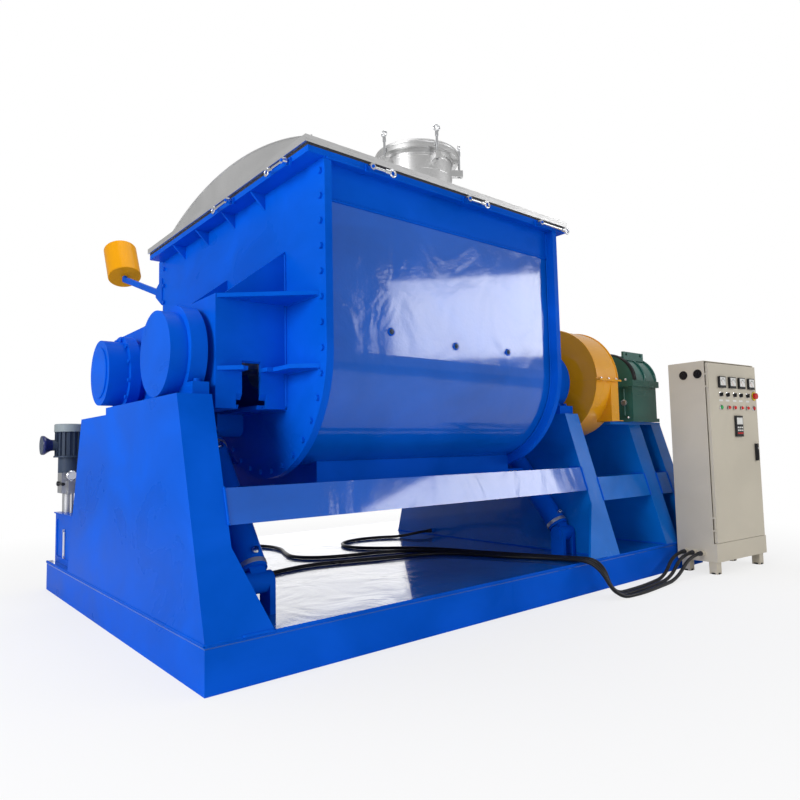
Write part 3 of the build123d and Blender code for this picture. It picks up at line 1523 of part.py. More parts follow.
# Control cabinet, turned a little towards the operator
turn = radians(cabinet_turn)
cabinet_plane = Plane(origin=(*cabinet_corner, 0), x_dir=(cos(turn), sin(turn), 0), z_dir=(0, 0, 1))
body_front = door_thickness + seat_gap
plinth = 135
vent_places = ((187, 1484), (73, 1484))
gland_z = 150
gland_places = (110, 175, 240)
with BuildPart(cabinet_plane) as cabinet_body:
    with Locations((0, body_front, cabinet_foot)):
        Box(cabinet_width, cabinet_depth - body_front, cabinet_height - cabinet_foot, align=LOW)
    with Locations((0, 0, cabinet_foot)):
        Box(cabinet_width, body_front, plinth, align=LOW)
    with Locations((cabinet_sheet, body_front, cabinet_foot + cabinet_sheet)):
        Box(
            cabinet_width - 2 * cabinet_sheet, cabinet_depth - body_front - cabinet_sheet,
            cabinet_height - cabinet_foot - 2 * cabinet_sheet, align=LOW, mode=Mode.SUBTRACT,
        )
    with Locations((0, body_front, cabinet_foot)):
        Box(cabinet_width, cabinet_sheet, plinth, align=LOW)
    for x in (20, cabinet_width - 80):
        for y in (20, cabinet_depth - 80):
            with Locations((x, y, 0)):
                Box(60, 60, cabinet_foot, align=LOW)
    with Locations((70, cabinet_depth - 44, 320)):
        Box(cabinet_width - 140, 4, cabinet_height - 420, align=LOW)
    for x in (110, cabinet_width - 110):
        for z in (370, cabinet_height - 150):
            with Locations(Location((x, cabinet_depth - 42, z), (-90, 0, 0))):
                Cylinder(10, 40, align=BASE)
    for z in hinge_places:
        for low in (z - hinge_length / 2 - hinge_eye - 1, z + hinge_length / 2 + 1):
            with Locations((*hinge_axis, low)):
                Cylinder(hinge_radius, hinge_eye, align=BASE)
            with Locations((hinge_axis[0] - hinge_radius + 1, hinge_axis[1], low)):
                Box(hinge_radius - 1, body_front, hinge_eye, align=LOW)
        with Locations((*hinge_axis, z - hinge_length / 2 - hinge_eye)):
            Cylinder(hinge_pin_radius, hinge_length + 2 * hinge_eye, align=BASE)
    for v, z in vent_places:
        with Locations(Location((0, v, z), (0, -90, 0))):
            Cylinder(36, 4, align=BASE)
    for v in gland_places:
        with Locations(Location((0, v, gland_z), (0, -90, 0))):
            Cylinder(21, gland_length / 2, align=BASE)
            Cylinder(17, gland_length, align=BASE)
finish(cabinet_body.part, "cabinet_body")

# Door: a shallow tray with holes for the stems of its controls
door_low = cabinet_foot + plinth + 3
door_sheet = 3
stem_radius = 11
stem_hole = stem_radius + running_gap
control_z = 1329
button_z = 1231
knob_places = (172, 267, 370, 463, 567)
stop_knob_place = 672
start_place = 167
stop_place = 652
lamp_places = (273, 359, 465, 554)
handle_place = (650, 884)

with BuildPart(cabinet_plane) as cabinet_door:
    with Locations((door_margin, 0, door_low)):
        Box(
            cabinet_width - 2 * door_margin, door_thickness, cabinet_height - door_margin - door_low,
            align=LOW,
        )
    with Locations((door_margin + door_sheet, door_sheet, door_low + door_sheet)):
        Box(
            cabinet_width - 2 * (door_margin + door_sheet), door_thickness,
            cabinet_height - door_margin - door_low - 2 * door_sheet,
            align=LOW, mode=Mode.SUBTRACT,
        )
    stems = [(x, control_z) for x in (*knob_places, stop_knob_place)]
    stems += [(start_place, button_z), (stop_place, button_z), handle_place]
    for x, z in stems:
        with Locations(Location((x, -1, z), (-90, 0, 0))):
            Cylinder(stem_hole, door_sheet + 2, align=BASE, mode=Mode.SUBTRACT)
    for z in hinge_places:
        with Locations((*hinge_axis, z - hinge_length / 2)):
            Cylinder(hinge_radius, hinge_length, align=BASE)
            Box(
                door_margin - hinge_axis[0] + 1, hinge_radius, hinge_length,
                align=(Align.MIN, Align.CENTER, Align.MIN),
            )
            Cylinder(hinge_pin_radius + running_gap, hinge_length, align=BASE, mode=Mode.SUBTRACT)
finish(cabinet_door.part, "cabinet_door")

# Fixed instruments on the door: meters, pilot lamps, bezels and the keypad
meter_places = (187, 335, 475, 620)
with BuildPart(cabinet_plane) as panel_instruments:
    for x in meter_places:
        with Locations((x, 0, 1423)):
            Box(88, 12, 84, align=(Align.CENTER, Align.MAX, Align.CENTER))
    for x in lamp_places:
        with Locations(Location((x, 0, button_z), (90, 0, 0))):
            Cylinder(15, 6, align=BASE)
            Cone(12, 8, 16, align=BASE)
    for x in (start_place, stop_place):
        with Locations(Location((x, 0, button_z), (90, 0, 0))):
            Cylinder(18, 8, align=BASE)
            Cylinder(14, 8, align=BASE, mode=Mode.SUBTRACT)
    with Locations(Location((stop_knob_place, 0, control_z), (90, 0, 0))):
        Cylinder(36, 2, align=BASE)
        Cylinder(stem_hole, 2, align=BASE, mode=Mode.SUBTRACT)
    with Locations((400, 0, 1088)):
        Box(100, 16, 162, align=(Align.CENTER, Align.MAX, Align.CENTER))
finish(panel_instruments.part, "panel_instruments")


def door_control(x, z, head_radius, head_start, head_length, grip):
    """Stem through the door with a round head in front of it, and a grip bar on a selector."""
    with BuildPart(cabinet_plane) as control:
        with Locations(Location((x, 18, z), (90, 0, 0))):
            Cylinder(stem_radius, 18 + head_start + head_length, align=BASE)
        with Locations(Location((x, -head_start, z), (90, 0, 0))):
            Cylinder(head_radius, head_length, align=BASE)
        if grip:
            with Locations((x, -head_start - head_length, z)):
                Box(grip, 10, 2 * head_radius - 2, align=(Align.CENTER, Align.MAX, Align.CENTER))
    return control.part


for number, x in enumerate(knob_places, start=1):
    finish(door_control(x, control_z, 15, seat_gap, 10, 8), f"selector_knob_{number}")
stop_clear = button_travel + 3
finish(door_control(stop_knob_place, control_z, 24, stop_clear, 16, 0), "emergency_stop")
finish(door_control(start_place, button_z, 13, button_travel + 1, 8, 0), "start_button")
finish(door_control(stop_place, button_z, 13, button_travel + 1, 8, 0), "stop_button")

with BuildPart(cabinet_plane) as door_handle:
    with Locations(Location((handle_place[0], 18, handle_place[1]), (90, 0, 0))):
        Cylinder(stem_radius, 34, align=BASE)
    with Locations((handle_place[0], -seat_gap, handle_place[1])):
        Box(26, 20, 134, align=(Align.CENTER, Align.MAX, Align.CENTER))
    fillet(door_handle.edges().filter_by(Axis.Z).group_by(Axis.Y)[0], radius=5)
finish(door_handle.part, "door_handle")

# Power cables: from the cabinet's glands over the floor, up onto the deck
bend_share = 0.45


def power_cable(name, points):
    """Tube along straight runs joined by tangent arcs through hand-set points."""
    route = [Vector(*point) for point in points]
    runs = [b - a for a, b in zip(route, route[1:])]
    radii = []
    for before, after in zip(runs, runs[1:]):
        half_turn = radians(before.get_angle(after)) / 2
        radii.append(bend_share * min(before.length, after.length) / tan(half_turn))
    with BuildPart() as cable:
        with BuildLine() as path:
            FilletPolyline(*route, radius=radii)
        with BuildSketch(Plane(origin=route[0], z_dir=runs[0])):
            Circle(cable_diameter / 2)
        sweep()
    length = path.wires()[0].length
    section = pi * (cable_diameter / 2) ** 2
    print(f"{name}: length {length:.0f}, volume ratio {cable.part.volume / (section * length):.4f}")
    print("  radii", [round(radius) for radius in radii])
    print("  turns", [round(a.get_angle(b)) for a, b in zip(runs, runs[1:])])
    print("  runs", [round(run.length) for run in runs])
    finish(cable.part, name)


def cabinet_exit(v):
    """Mouth of a gland on the cabinet's left side and a point straight out from it."""
    reaches = (gland_length, gland_length + 145)
    return [tuple(cabinet_plane.from_local_coords(Vector(-reach, v, gland_z))) for reach in reaches]


deck = cable_deck_z
deck_edge_z = deck + 4
cable_rise_z = deck + 15
floor = cable_floor_z
exit_1, exit_2, exit_3 = (cabinet_exit(v) for v in gland_places)
power_cable("power_cable_1", (
    *exit_1, (1270, -1634, floor), (970, -1668, floor), (700, -1690, floor),
    (470, -1660, floor), (428, -1545, cable_rise_z), (404, -1300, deck_edge_z), (352, -1130, deck),
    (250, -960, deck), (180, -760, deck), (90, -560, deck), (-90, -440, deck),
    (-350, -385, deck), (-610, -300, deck), (-870, -232, deck), (-1060, -262, deck), (-1203, -302, deck),
))
power_cable("power_cable_2", (
    *exit_2, (1280, -1582, floor), (980, -1622, floor), (735, -1640, floor),
    (500, -1618, floor), (468, -1540, cable_rise_z), (444, -1300, deck_edge_z), (392, -1110, deck),
    (300, -930, deck), (220, -700, deck), (120, -450, deck), (-30, -250, deck), (-250, -150, deck),
    (-470, -110, deck), (-680, -30, deck), (-790, 130, deck), (-735, 330, deck), (-640, 560, deck),
    (-660, 800, deck), (-830, 980, deck), (-1080, 1060, deck), (-1350, 1090, deck),
    (-1560, tank_gland_y, deck_gland_z), (tank_x + tank_length + gland_length, tank_gland_y, deck_gland_z),
))
power_cable("power_cable_3", (
    *exit_3, (1290, -1530, floor), (1000, -1575, floor), (775, -1590, floor),
    (545, -1580, floor), (508, -1535, cable_rise_z), (484, -1300, deck_edge_z), (432, -1090, deck),
    (350, -900, deck), (262, -660, deck), (190, -400, deck), (60, -160, deck), (-140, 20, deck),
    (-250, 220, deck), (-180, 430, deck), (30, 530, deck), (260, 500, deck), (430, 385, deck),
    (575, stand_gland_y, deck_gland_z), (right_stand_x - gland_length, stand_gland_y, deck_gland_z),
))
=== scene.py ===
"""Dressed model of a tilting double-sigma-blade kneading machine, with its stage and camera.

Metres, +Z up, +X along the rotor shafts, the operator stands on the -Y side.
"""

from __future__ import annotations

import logging
import math
from dataclasses import dataclass, field
from enum import Enum
from typing import Iterable, Sequence

import bpy
import numpy as np
from mathutils import Matrix, Vector


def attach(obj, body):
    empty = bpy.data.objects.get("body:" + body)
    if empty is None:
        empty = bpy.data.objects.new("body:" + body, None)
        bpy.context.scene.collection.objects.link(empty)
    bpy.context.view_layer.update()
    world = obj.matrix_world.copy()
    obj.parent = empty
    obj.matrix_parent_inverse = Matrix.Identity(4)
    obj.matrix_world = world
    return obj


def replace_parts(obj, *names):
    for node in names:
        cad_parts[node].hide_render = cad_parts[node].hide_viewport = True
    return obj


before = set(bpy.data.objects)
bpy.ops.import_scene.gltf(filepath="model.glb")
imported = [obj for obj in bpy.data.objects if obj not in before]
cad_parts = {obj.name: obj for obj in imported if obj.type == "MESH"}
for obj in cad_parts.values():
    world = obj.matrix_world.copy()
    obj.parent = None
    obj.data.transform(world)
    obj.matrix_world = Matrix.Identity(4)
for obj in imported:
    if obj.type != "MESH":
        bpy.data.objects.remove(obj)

log = logging.getLogger("kneader")
Point = Sequence[float]

LEFT = -2.1
FRONT = -1.425
SHAFT_Z = 1.452
FRONT_SHAFT_Y = -0.825
REAR_SHAFT_Y = 0.075
DECK_Z = 0.205
LEAN = 0.30


class Surface(Enum):
    """Kinds of procedural surface."""

    PAINT = "paint"
    BRUSHED = "brushed"
    CAST = "cast"
    SHEATH = "sheath"
    MOULDED = "moulded"
    POWDER = "powder"


@dataclass(frozen=True)
class Finish:
    """One finish: a colour and the procedural surface that carries it.

    Attributes:
        name: Material name.
        color: Linear base colour.
        surface: Kind of surface pattern.
        roughness: Mean roughness.
        metallic: Metallic share, 0 or 1.
        coat: Weight of the clear coat.
        gloss: Strength of the reflection on a finish that is not metal.
        variation: Share by which the colour drifts.
        relief: Height of the surface bump in metres.
        slot: Record slot for new pieces in this finish; not used.
    """

    name: str
    color: tuple[float, float, float]
    surface: Surface
    roughness: float
    metallic: float = 0.0
    coat: float = 0.0
    gloss: float = 0.2
    variation: float = 0.12
    relief: float = 0.0004
    slot: str = "blue_paint"

    def material(self) -> bpy.types.Material:
        """Return the material, built on first use.

        Returns:
            The node material of this finish.
        """
        known = bpy.data.materials.get(self.name)
        if known is not None:
            return known
        made = bpy.data.materials.new(self.name)
        made.use_nodes = True
        Graph(made, self).build()
        return made


class Graph:
    """Builds the node tree of a finish."""

    def __init__(self, material: bpy.types.Material, finish: Finish) -> None:
        """Keep the tree and the finish.

        Args:
            material: Material to fill.
            finish: Finish to follow.
        """
        self.tree = material.node_tree
        self.finish = finish
        self.shader = self.tree.nodes["Principled BSDF"]
        self.coords = self.tree.nodes.new("ShaderNodeTexCoord")

    def noise(self, scale: Point, detail: float, distortion: float = 0.0) -> bpy.types.Node:
        """Noise over object coordinates, stretched by a scale per axis.

        Args:
            scale: Repeats per metre along X, Y and Z.
            detail: Octaves of the noise.
            distortion: Warp of the noise.

        Returns:
            The noise node.
        """
        mapping = self.tree.nodes.new("ShaderNodeMapping")
        mapping.inputs["Scale"].default_value = tuple(scale)
        node = self.tree.nodes.new("ShaderNodeTexNoise")
        node.inputs["Scale"].default_value = 1.0
        node.inputs["Detail"].default_value = detail
        node.inputs["Distortion"].default_value = distortion
        self.tree.links.new(self.coords.outputs["Object"], mapping.inputs["Vector"])
        self.tree.links.new(mapping.outputs["Vector"], node.inputs["Vector"])
        return node

    def spread(self, source: bpy.types.Node, low: float, high: float) -> bpy.types.Node:
        """Map a noise factor to a range.

        Args:
            source: Noise node.
            low: Value at factor 0.3.
            high: Value at factor 0.7.

        Returns:
            The map-range node.
        """
        node = self.tree.nodes.new("ShaderNodeMapRange")
        node.inputs["From Min"].default_value = 0.3
        node.inputs["From Max"].default_value = 0.7
        node.inputs["To Min"].default_value = low
        node.inputs["To Max"].default_value = high
        self.tree.links.new(source.outputs["Fac"], node.inputs["Value"])
        return node

    def blend_colour(self, factor: bpy.types.NodeSocket, dark: Point, light: Point) -> bpy.types.NodeSocket:
        """Mix two colours by a factor.

        Args:
            factor: Driving socket.
            dark: Colour at 0.
            light: Colour at 1.

        Returns:
            The mixed colour socket.
        """
        mix = self.tree.nodes.new("ShaderNodeMix")
        mix.data_type = "RGBA"
        mix.inputs[6].default_value = (*dark, 1.0)
        mix.inputs[7].default_value = (*light, 1.0)
        self.tree.links.new(factor, mix.inputs[0])
        return mix.outputs[2]

    def bump(self, sources: Iterable[tuple[bpy.types.Node, float]]) -> None:
        """Chain bumps into the shader's normal.

        Args:
            sources: Noise nodes with the height of each in metres.
        """
        last = None
        for source, height in sources:
            node = self.tree.nodes.new("ShaderNodeBump")
            node.inputs["Distance"].default_value = height
            self.tree.links.new(source.outputs["Fac"], node.inputs["Height"])
            if last is not None:
                self.tree.links.new(last.outputs["Normal"], node.inputs["Normal"])
            last = node
        self.tree.links.new(last.outputs["Normal"], self.shader.inputs["Normal"])

    def build(self) -> None:
        """Fill the tree for the finish's surface."""
        f = self.finish
        shader = self.shader
        shader.inputs["Metallic"].default_value = f.metallic
        shader.inputs["Coat Weight"].default_value = f.coat
        shader.inputs["Specular IOR Level"].default_value = 0.5 if f.metallic else f.gloss
        shader.inputs["Coat Roughness"].default_value = 0.06
        drift = self.noise((1.7, 1.7, 2.3), 4.0, 0.6)
        grain_scale = {
            Surface.PAINT: (55.0, 55.0, 55.0),
            Surface.BRUSHED: (9.0, 420.0, 420.0),
            Surface.CAST: (160.0, 160.0, 160.0),
            Surface.SHEATH: (300.0, 300.0, 300.0),
            Surface.MOULDED: (700.0, 700.0, 700.0),
            Surface.POWDER: (520.0, 520.0, 520.0),
        }[f.surface]
        grain = self.noise(grain_scale, 3.0)
        dark = tuple(c * (1.0 - f.variation) for c in f.color)
        light = tuple(min(1.0, c * (1.0 + f.variation) + 0.02 * f.variation) for c in f.color)
        tone = self.spread(drift, 0.0, 1.0)
        colour = self.blend_colour(tone.outputs["Result"], dark, light)
        self.tree.links.new(colour, shader.inputs["Base Color"])
        rough_low = max(0.03, f.roughness * 0.75)
        rough_high = min(1.0, f.roughness * 1.3)
        rough_source = grain if f.surface in (Surface.BRUSHED, Surface.CAST) else drift
        rough = self.spread(rough_source, rough_low, rough_high)
        self.tree.links.new(rough.outputs["Result"], shader.inputs["Roughness"])
        bumps = [(grain, f.relief)]
        if f.surface is Surface.PAINT:
            bumps.insert(0, (self.noise((3.1, 3.1, 2.4), 2.0, 0.8), f.relief * 16))
        if f.surface is Surface.BRUSHED:
            bumps.insert(0, (self.noise((2.5, 4.0, 4.0), 2.0, 0.5), f.relief * 12))
        self.bump(bumps)


BLUE = Finish("blue_gloss", (0.0, 0.097, 0.63), Surface.PAINT, 0.32, gloss=0.018, variation=0.14,
              relief=0.00004)
JACKET_BLUE = Finish("blue_jacket", (0.0, 0.105, 0.56), Surface.PAINT, 0.10, coat=0.9, variation=0.14,
                     relief=0.00085)
# Frame blue made lighter and greener for the right stand: painted light, standing in for the brighter light on
# the stand's leaning front.
LIT_STAND_BLUE = Finish("blue_stand_lit", (0.0, 0.15, 0.62), Surface.PAINT, 0.22, coat=0.3, variation=0.14,
                    relief=0.0003)
# Frame blue made darker for the deck plate: painted shade of the deck under the trough.
SHADED_DECK_BLUE = Finish("blue_deck_shaded", (0.0, 0.09, 0.42), Surface.PAINT, 0.15, coat=0.8, variation=0.2,
                   relief=0.0009)
STEEL = Finish("stainless_brushed", (0.74, 0.74, 0.74), Surface.BRUSHED, 0.34, 1.0, variation=0.10,
               relief=0.00003, slot="stainless")
MACHINED = Finish("machined_steel", (0.50, 0.51, 0.53), Surface.BRUSHED, 0.32, 1.0, relief=0.00003,
                  slot="machined_steel")
CHROME = Finish("plated_steel", (0.74, 0.75, 0.77), Surface.CAST, 0.14, 1.0, relief=0.00002,
                slot="chrome_steel")
AMBER = Finish("amber_gloss", (0.80, 0.34, 0.004), Surface.PAINT, 0.30, coat=0.1, gloss=0.05, variation=0.06,
               relief=0.0001, slot="orange_paint")
ORANGE = Finish("orange_gloss", (0.86, 0.38, 0.006), Surface.PAINT, 0.26, coat=0.8, variation=0.08,
                relief=0.00012, slot="orange_paint")
GREEN = Finish("green_gloss", (0.03, 0.14, 0.115), Surface.PAINT, 0.28, coat=0.7, relief=0.00014,
               slot="green_paint")
SLATE = Finish("slate_cast", (0.045, 0.065, 0.105), Surface.CAST, 0.38, relief=0.0003, slot="grey_paint")
GREY = Finish("grey_cast", (0.30, 0.35, 0.37), Surface.CAST, 0.42, relief=0.0003, slot="grey_paint")
NAVY = Finish("navy_gloss", (0.012, 0.02, 0.12), Surface.PAINT, 0.28, coat=0.6, slot="navy_paint")
BEIGE = Finish("beige_powder", (0.60, 0.55, 0.45), Surface.POWDER, 0.42, variation=0.05, relief=0.00006,
               slot="cabinet_paint")
CAST = Finish("cast_metal", (0.25, 0.26, 0.28), Surface.CAST, 0.45, 0.9, relief=0.0003, slot="cast_metal")
SHEATH = Finish("cable_sheath", (0.012, 0.012, 0.014), Surface.SHEATH, 0.34, relief=0.00006,
                slot="black_rubber")
SEAL = Finish("seal_rubber", (0.035, 0.035, 0.04), Surface.SHEATH, 0.6, relief=0.0001, slot="gasket_rubber")
BLACK = Finish("black_moulded", (0.018, 0.018, 0.02), Surface.MOULDED, 0.38, relief=0.00004,
               slot="black_plastic")
RED = Finish("red_moulded", (0.62, 0.015, 0.012), Surface.MOULDED, 0.25, coat=0.4, relief=0.00003,
             slot="red_plastic")
LAMP = Finish("lamp_green", (0.02, 0.42, 0.10), Surface.MOULDED, 0.2, coat=0.5, relief=0.00003,
              slot="green_plastic")
YELLOW = Finish("yellow_ring", (0.85, 0.62, 0.02), Surface.MOULDED, 0.35, relief=0.00003, slot="orange_paint")
DIAL = Finish("dial_white", (0.78, 0.78, 0.75), Surface.MOULDED, 0.4, variation=0.03, relief=0.00001,
              slot="cabinet_paint")

NODE_FINISH: dict[str, Finish] = {
    # right_stand takes the lighter copy of the frame blue as painted light.
    "heating_jacket": JACKET_BLUE, "tie_beam": JACKET_BLUE, "right_stand": LIT_STAND_BLUE,
    # deck_plate takes the darker copy of the frame blue as painted shade.
    "deck_plate": SHADED_DECK_BLUE, "reducer_case": GREEN, "reducer_cover": GREEN, "guard_upper": ORANGE,
    "guard_lower": ORANGE, "pump_motor": SLATE, "valve_block": MACHINED, "cabinet_body": BEIGE,
    "cabinet_door": BEIGE, "motor_coupling": MACHINED, "cylinder_rods": CHROME, "valve_lever": BLACK,
    "panel_instruments": BLACK, "door_handle": BLACK, "emergency_stop": RED, "start_button": LAMP,
    "stop_button": RED, "rotor_bearings": MACHINED, "packing_glands": MACHINED, "end_plate_bolts": BLUE,
    "front_rotor": STEEL, "rear_rotor": STEEL, "front_gear": CAST, "rear_gear": CAST,
    "drive_coupling": MACHINED, "lid_shell": STEEL, "lid_gasket": SEAL, "counterweights": AMBER,
    "manhole_neck": STEEL, "manhole_cover": STEEL, "manhole_bolts": CHROME,
    **{f"selector_knob_{n}": BLACK for n in range(1, 6)},
    **{f"lid_bolt_front_{n}": CHROME for n in (1, 2, 3)},
    **{f"lid_bolt_left_{n}": CHROME for n in (1, 2)},
    **{f"power_cable_{n}": SHEATH for n in (1, 2, 3)},
}


@dataclass
class Shape:
    """Mesh under construction in world coordinates.

    Attributes:
        name: Name of the finished piece.
        body: CAD body that it rides on.
        finishes: Finishes by material index.
    """

    name: str
    body: str
    finishes: tuple[Finish, ...]
    points: list[np.ndarray] = field(default_factory=list)
    faces: list[tuple[int, ...]] = field(default_factory=list)
    tones: list[int] = field(default_factory=list)
    rounds: list[bool] = field(default_factory=list)
    count: int = 0

    def add(self, points: np.ndarray, faces: Iterable[Sequence[int]], tone: int = 0,
            smooth: bool = True) -> None:
        """Append points and faces.

        Args:
            points: N x 3 array.
            faces: Corner indices into points.
            tone: Material index.
            smooth: Whether the faces shade smooth.
        """
        self.points.append(points)
        for face in faces:
            self.faces.append(tuple(int(i) + self.count for i in face))
            self.tones.append(tone)
            self.rounds.append(smooth)
        self.count += len(points)

    def lathe(self, base: Point, axis: Point, profile: Sequence[tuple[float, float]], steps: int = 32,
              tone: int = 0, smooth: bool = False) -> None:
        """Turn a profile about an axis.

        The point at angle a and profile entry (r, h) is base + h * axis + r * (u cos a + v sin a), with
        u and v square to the axis.

        Args:
            base: Point on the axis at h = 0.
            axis: Direction of the axis.
            profile: Radius and height pairs, in order from the base outwards.
            steps: Number of angles.
            tone: Material index.
            smooth: Whether the faces shade smooth along the profile.
        """
        w = np.array(Vector(axis).normalized())
        side = np.array([0.0, 0.0, 1.0]) if abs(w[2]) < 0.9 else np.array([1.0, 0.0, 0.0])
        u = np.cross(side, w)
        u /= np.linalg.norm(u)
        v = np.cross(w, u)
        angle = np.linspace(0.0, 2 * math.pi, steps, endpoint=False)
        around = np.outer(np.cos(angle), u) + np.outer(np.sin(angle), v)
        rows = []
        for radius, height in profile:
            rows.append(np.array(base) + height * w + max(radius, 1e-5) * around)
        if not smooth:
            doubled = [rows[0]]
            for row in rows[1:-1]:
                doubled += [row, row]
            rows = doubled + [rows[-1]]
            pairs = range(0, len(rows) - 1, 2)
        else:
            pairs = range(len(rows) - 1)
        faces = []
        for row in pairs:
            for step in range(steps):
                nxt = (step + 1) % steps
                faces.append((row * steps + step, row * steps + nxt, (row + 1) * steps + nxt,
                              (row + 1) * steps + step))
        self.add(np.concatenate(rows), faces, tone, True)

    def tube(self, path: Sequence[Point], radius: float, steps: int = 12, tone: int = 0,
             ripple: float = 0.0) -> None:
        """Sweep a round section along a path, with closed ends.

        The ring at path point i is the circle of the radius, square to the mean direction there; the
        ripple changes that radius by ripple * (-1)^i.

        Args:
            path: Points of the centre line.
            radius: Section radius.
            steps: Points round the section.
            tone: Material index.
            ripple: Share by which each second ring is larger.
        """
        line = np.array(path, float)
        ahead = np.gradient(line, axis=0)
        ahead /= np.linalg.norm(ahead, axis=1)[:, None]
        side = np.array([0.0, 0.0, 1.0]) if abs(ahead[0][2]) < 0.9 else np.array([1.0, 0.0, 0.0])
        angle = np.linspace(0.0, 2 * math.pi, steps, endpoint=False)
        rings = []
        for number, (point, way) in enumerate(zip(line, ahead)):
            u = side - way * float(side @ way)
            u /= np.linalg.norm(u)
            side = u
            v = np.cross(way, u)
            size = radius * (1.0 + ripple * (-1) ** number)
            rings.append(point + size * (np.outer(np.cos(angle), u) + np.outer(np.sin(angle), v)))
        faces = []
        for row in range(len(rings) - 1):
            for step in range(steps):
                nxt = (step + 1) % steps
                faces.append((row * steps + step, row * steps + nxt, (row + 1) * steps + nxt,
                              (row + 1) * steps + step))
        faces.append(tuple(range(steps))[::-1])
        faces.append(tuple((len(rings) - 1) * steps + step for step in range(steps)))
        self.add(np.concatenate(rings), faces, tone)

    def block(self, middle: Point, size: Point, chamfer: float, turn: Matrix | None = None,
              tone: int = 0) -> None:
        """Add a box with chamfered edges and corners.

        Each face is a rectangle drawn in by the chamfer; twelve strips and eight triangles join them.

        Args:
            middle: Centre of the box.
            size: Lengths along its own axes.
            chamfer: Width of the chamfers.
            turn: Rotation of the box.
            tone: Material index.
        """
        half = np.array(size, float) / 2
        points: list[np.ndarray] = []
        index: dict[tuple[int, tuple[int, int, int]], int] = {}
        corners = [(x, y, z) for x in (-1, 1) for y in (-1, 1) for z in (-1, 1)]
        for axis in range(3):
            for corner in corners:
                point = np.array(corner) * (half - chamfer)
                point[axis] = corner[axis] * half[axis]
                index[axis, corner] = len(points)
                points.append(point)
        loops = []
        for axis in range(3):
            b, c = [other for other in range(3) if other != axis]
            for sign in (-1, 1):
                loop = []
                for sb, sc in ((-1, -1), (1, -1), (1, 1), (-1, 1)):
                    corner = [0, 0, 0]
                    corner[axis], corner[b], corner[c] = sign, sb, sc
                    loop.append(index[axis, tuple(corner)])
                loops.append(loop)
                for other in (b, c):
                    if other < axis:
                        continue
                    along = 3 - axis - other
                    for sign_2 in (-1, 1):
                        ends = []
                        for end in (-1, 1):
                            corner = [0, 0, 0]
                            corner[axis], corner[other], corner[along] = sign, sign_2, end
                            ends.append(tuple(corner))
                        loops.append([index[axis, ends[0]], index[axis, ends[1]],
                                      index[other, ends[1]], index[other, ends[0]]])
        loops += [[index[axis, corner] for axis in range(3)] for corner in corners]
        array = np.array(points)
        faces = []
        for loop in loops:
            a, b, c = array[loop[0]], array[loop[1]], array[loop[2]]
            outward = float(np.cross(b - a, c - a) @ array[loop].mean(axis=0))
            faces.append(loop if outward > 0 else loop[::-1])
        if turn is not None:
            array = array @ np.array(turn.to_3x3()).T
        self.add(array + np.array(middle, float), faces, tone, False)

    def bolt(self, base: Point, axis: Point, across: float, height: float, tone: int = 0) -> None:
        """Add a hexagon bolt head on a washer.

        Args:
            base: Point on the surface below the washer.
            axis: Outward direction.
            across: Radius of the head's corners.
            height: Height of head and washer.
            tone: Material index.
        """
        washer = height * 0.18
        self.lathe(base, axis, ((across * 1.35, 0.0), (across * 1.35, washer), (0.0, washer)), 16, tone)
        top = Vector(base) + Vector(axis).normalized() * washer
        profile = ((across, 0.0), (across, (height - washer) * 0.85), (across * 0.86, height - washer),
                   (0.0, height - washer))
        self.lathe(top, axis, profile, 6, tone)

    def make(self) -> bpy.types.Object:
        """Create the object, give it its finishes and let it ride.

        Returns:
            The finished object.
        """
        mesh = bpy.data.meshes.new(self.name)
        mesh.from_pydata(np.concatenate(self.points).tolist(), [], self.faces)
        mesh.polygons.foreach_set("material_index", self.tones)
        mesh.polygons.foreach_set("use_smooth", self.rounds)
        for finish in self.finishes:
            mesh.materials.append(finish.material())
        mesh.update()
        made = bpy.data.objects.new(self.name, mesh)
        bpy.context.scene.collection.objects.link(made)
        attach(made, self.body)
        log.info("%s: %d faces on %s", self.name, len(self.faces), self.body)
        return made


def ring_places(centre: Point, axis: int, radius: float, count: int, start: float = 0.0) -> list[Vector]:
    """Points evenly spaced on a circle square to a world axis.

    Args:
        centre: Centre of the circle.
        axis: World axis that the circle faces, 0 to 2.
        radius: Radius of the circle.
        count: Number of points.
        start: First angle in degrees.

    Returns:
        The points, at centre + radius * (cos a, sin a) in the circle's plane.
    """
    b, c = [(1, 2), (0, 2), (0, 1)][axis]
    places = []
    for number in range(count):
        angle = math.radians(start + 360.0 * number / count)
        point = Vector(centre)
        point[b] += radius * math.cos(angle)
        point[c] += radius * math.sin(angle)
        places.append(point)
    return places


def slope_y(z: float) -> float:
    """Y of the stands' leaning front face.

    Args:
        z: Height.

    Returns:
        Y at that height.
    """
    return FRONT + LEAN * (z - DECK_Z)


@dataclass
class PaintShop:
    """Gives every carried-over CAD node its finish."""

    default: Finish = BLUE

    def dress(self) -> None:
        """Assign one material per node."""
        for name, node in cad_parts.items():
            finish = NODE_FINISH.get(name, self.default)
            node.data.materials.clear()
            node.data.materials.append(finish.material())
            log.info("%s: %s", name, finish.name)


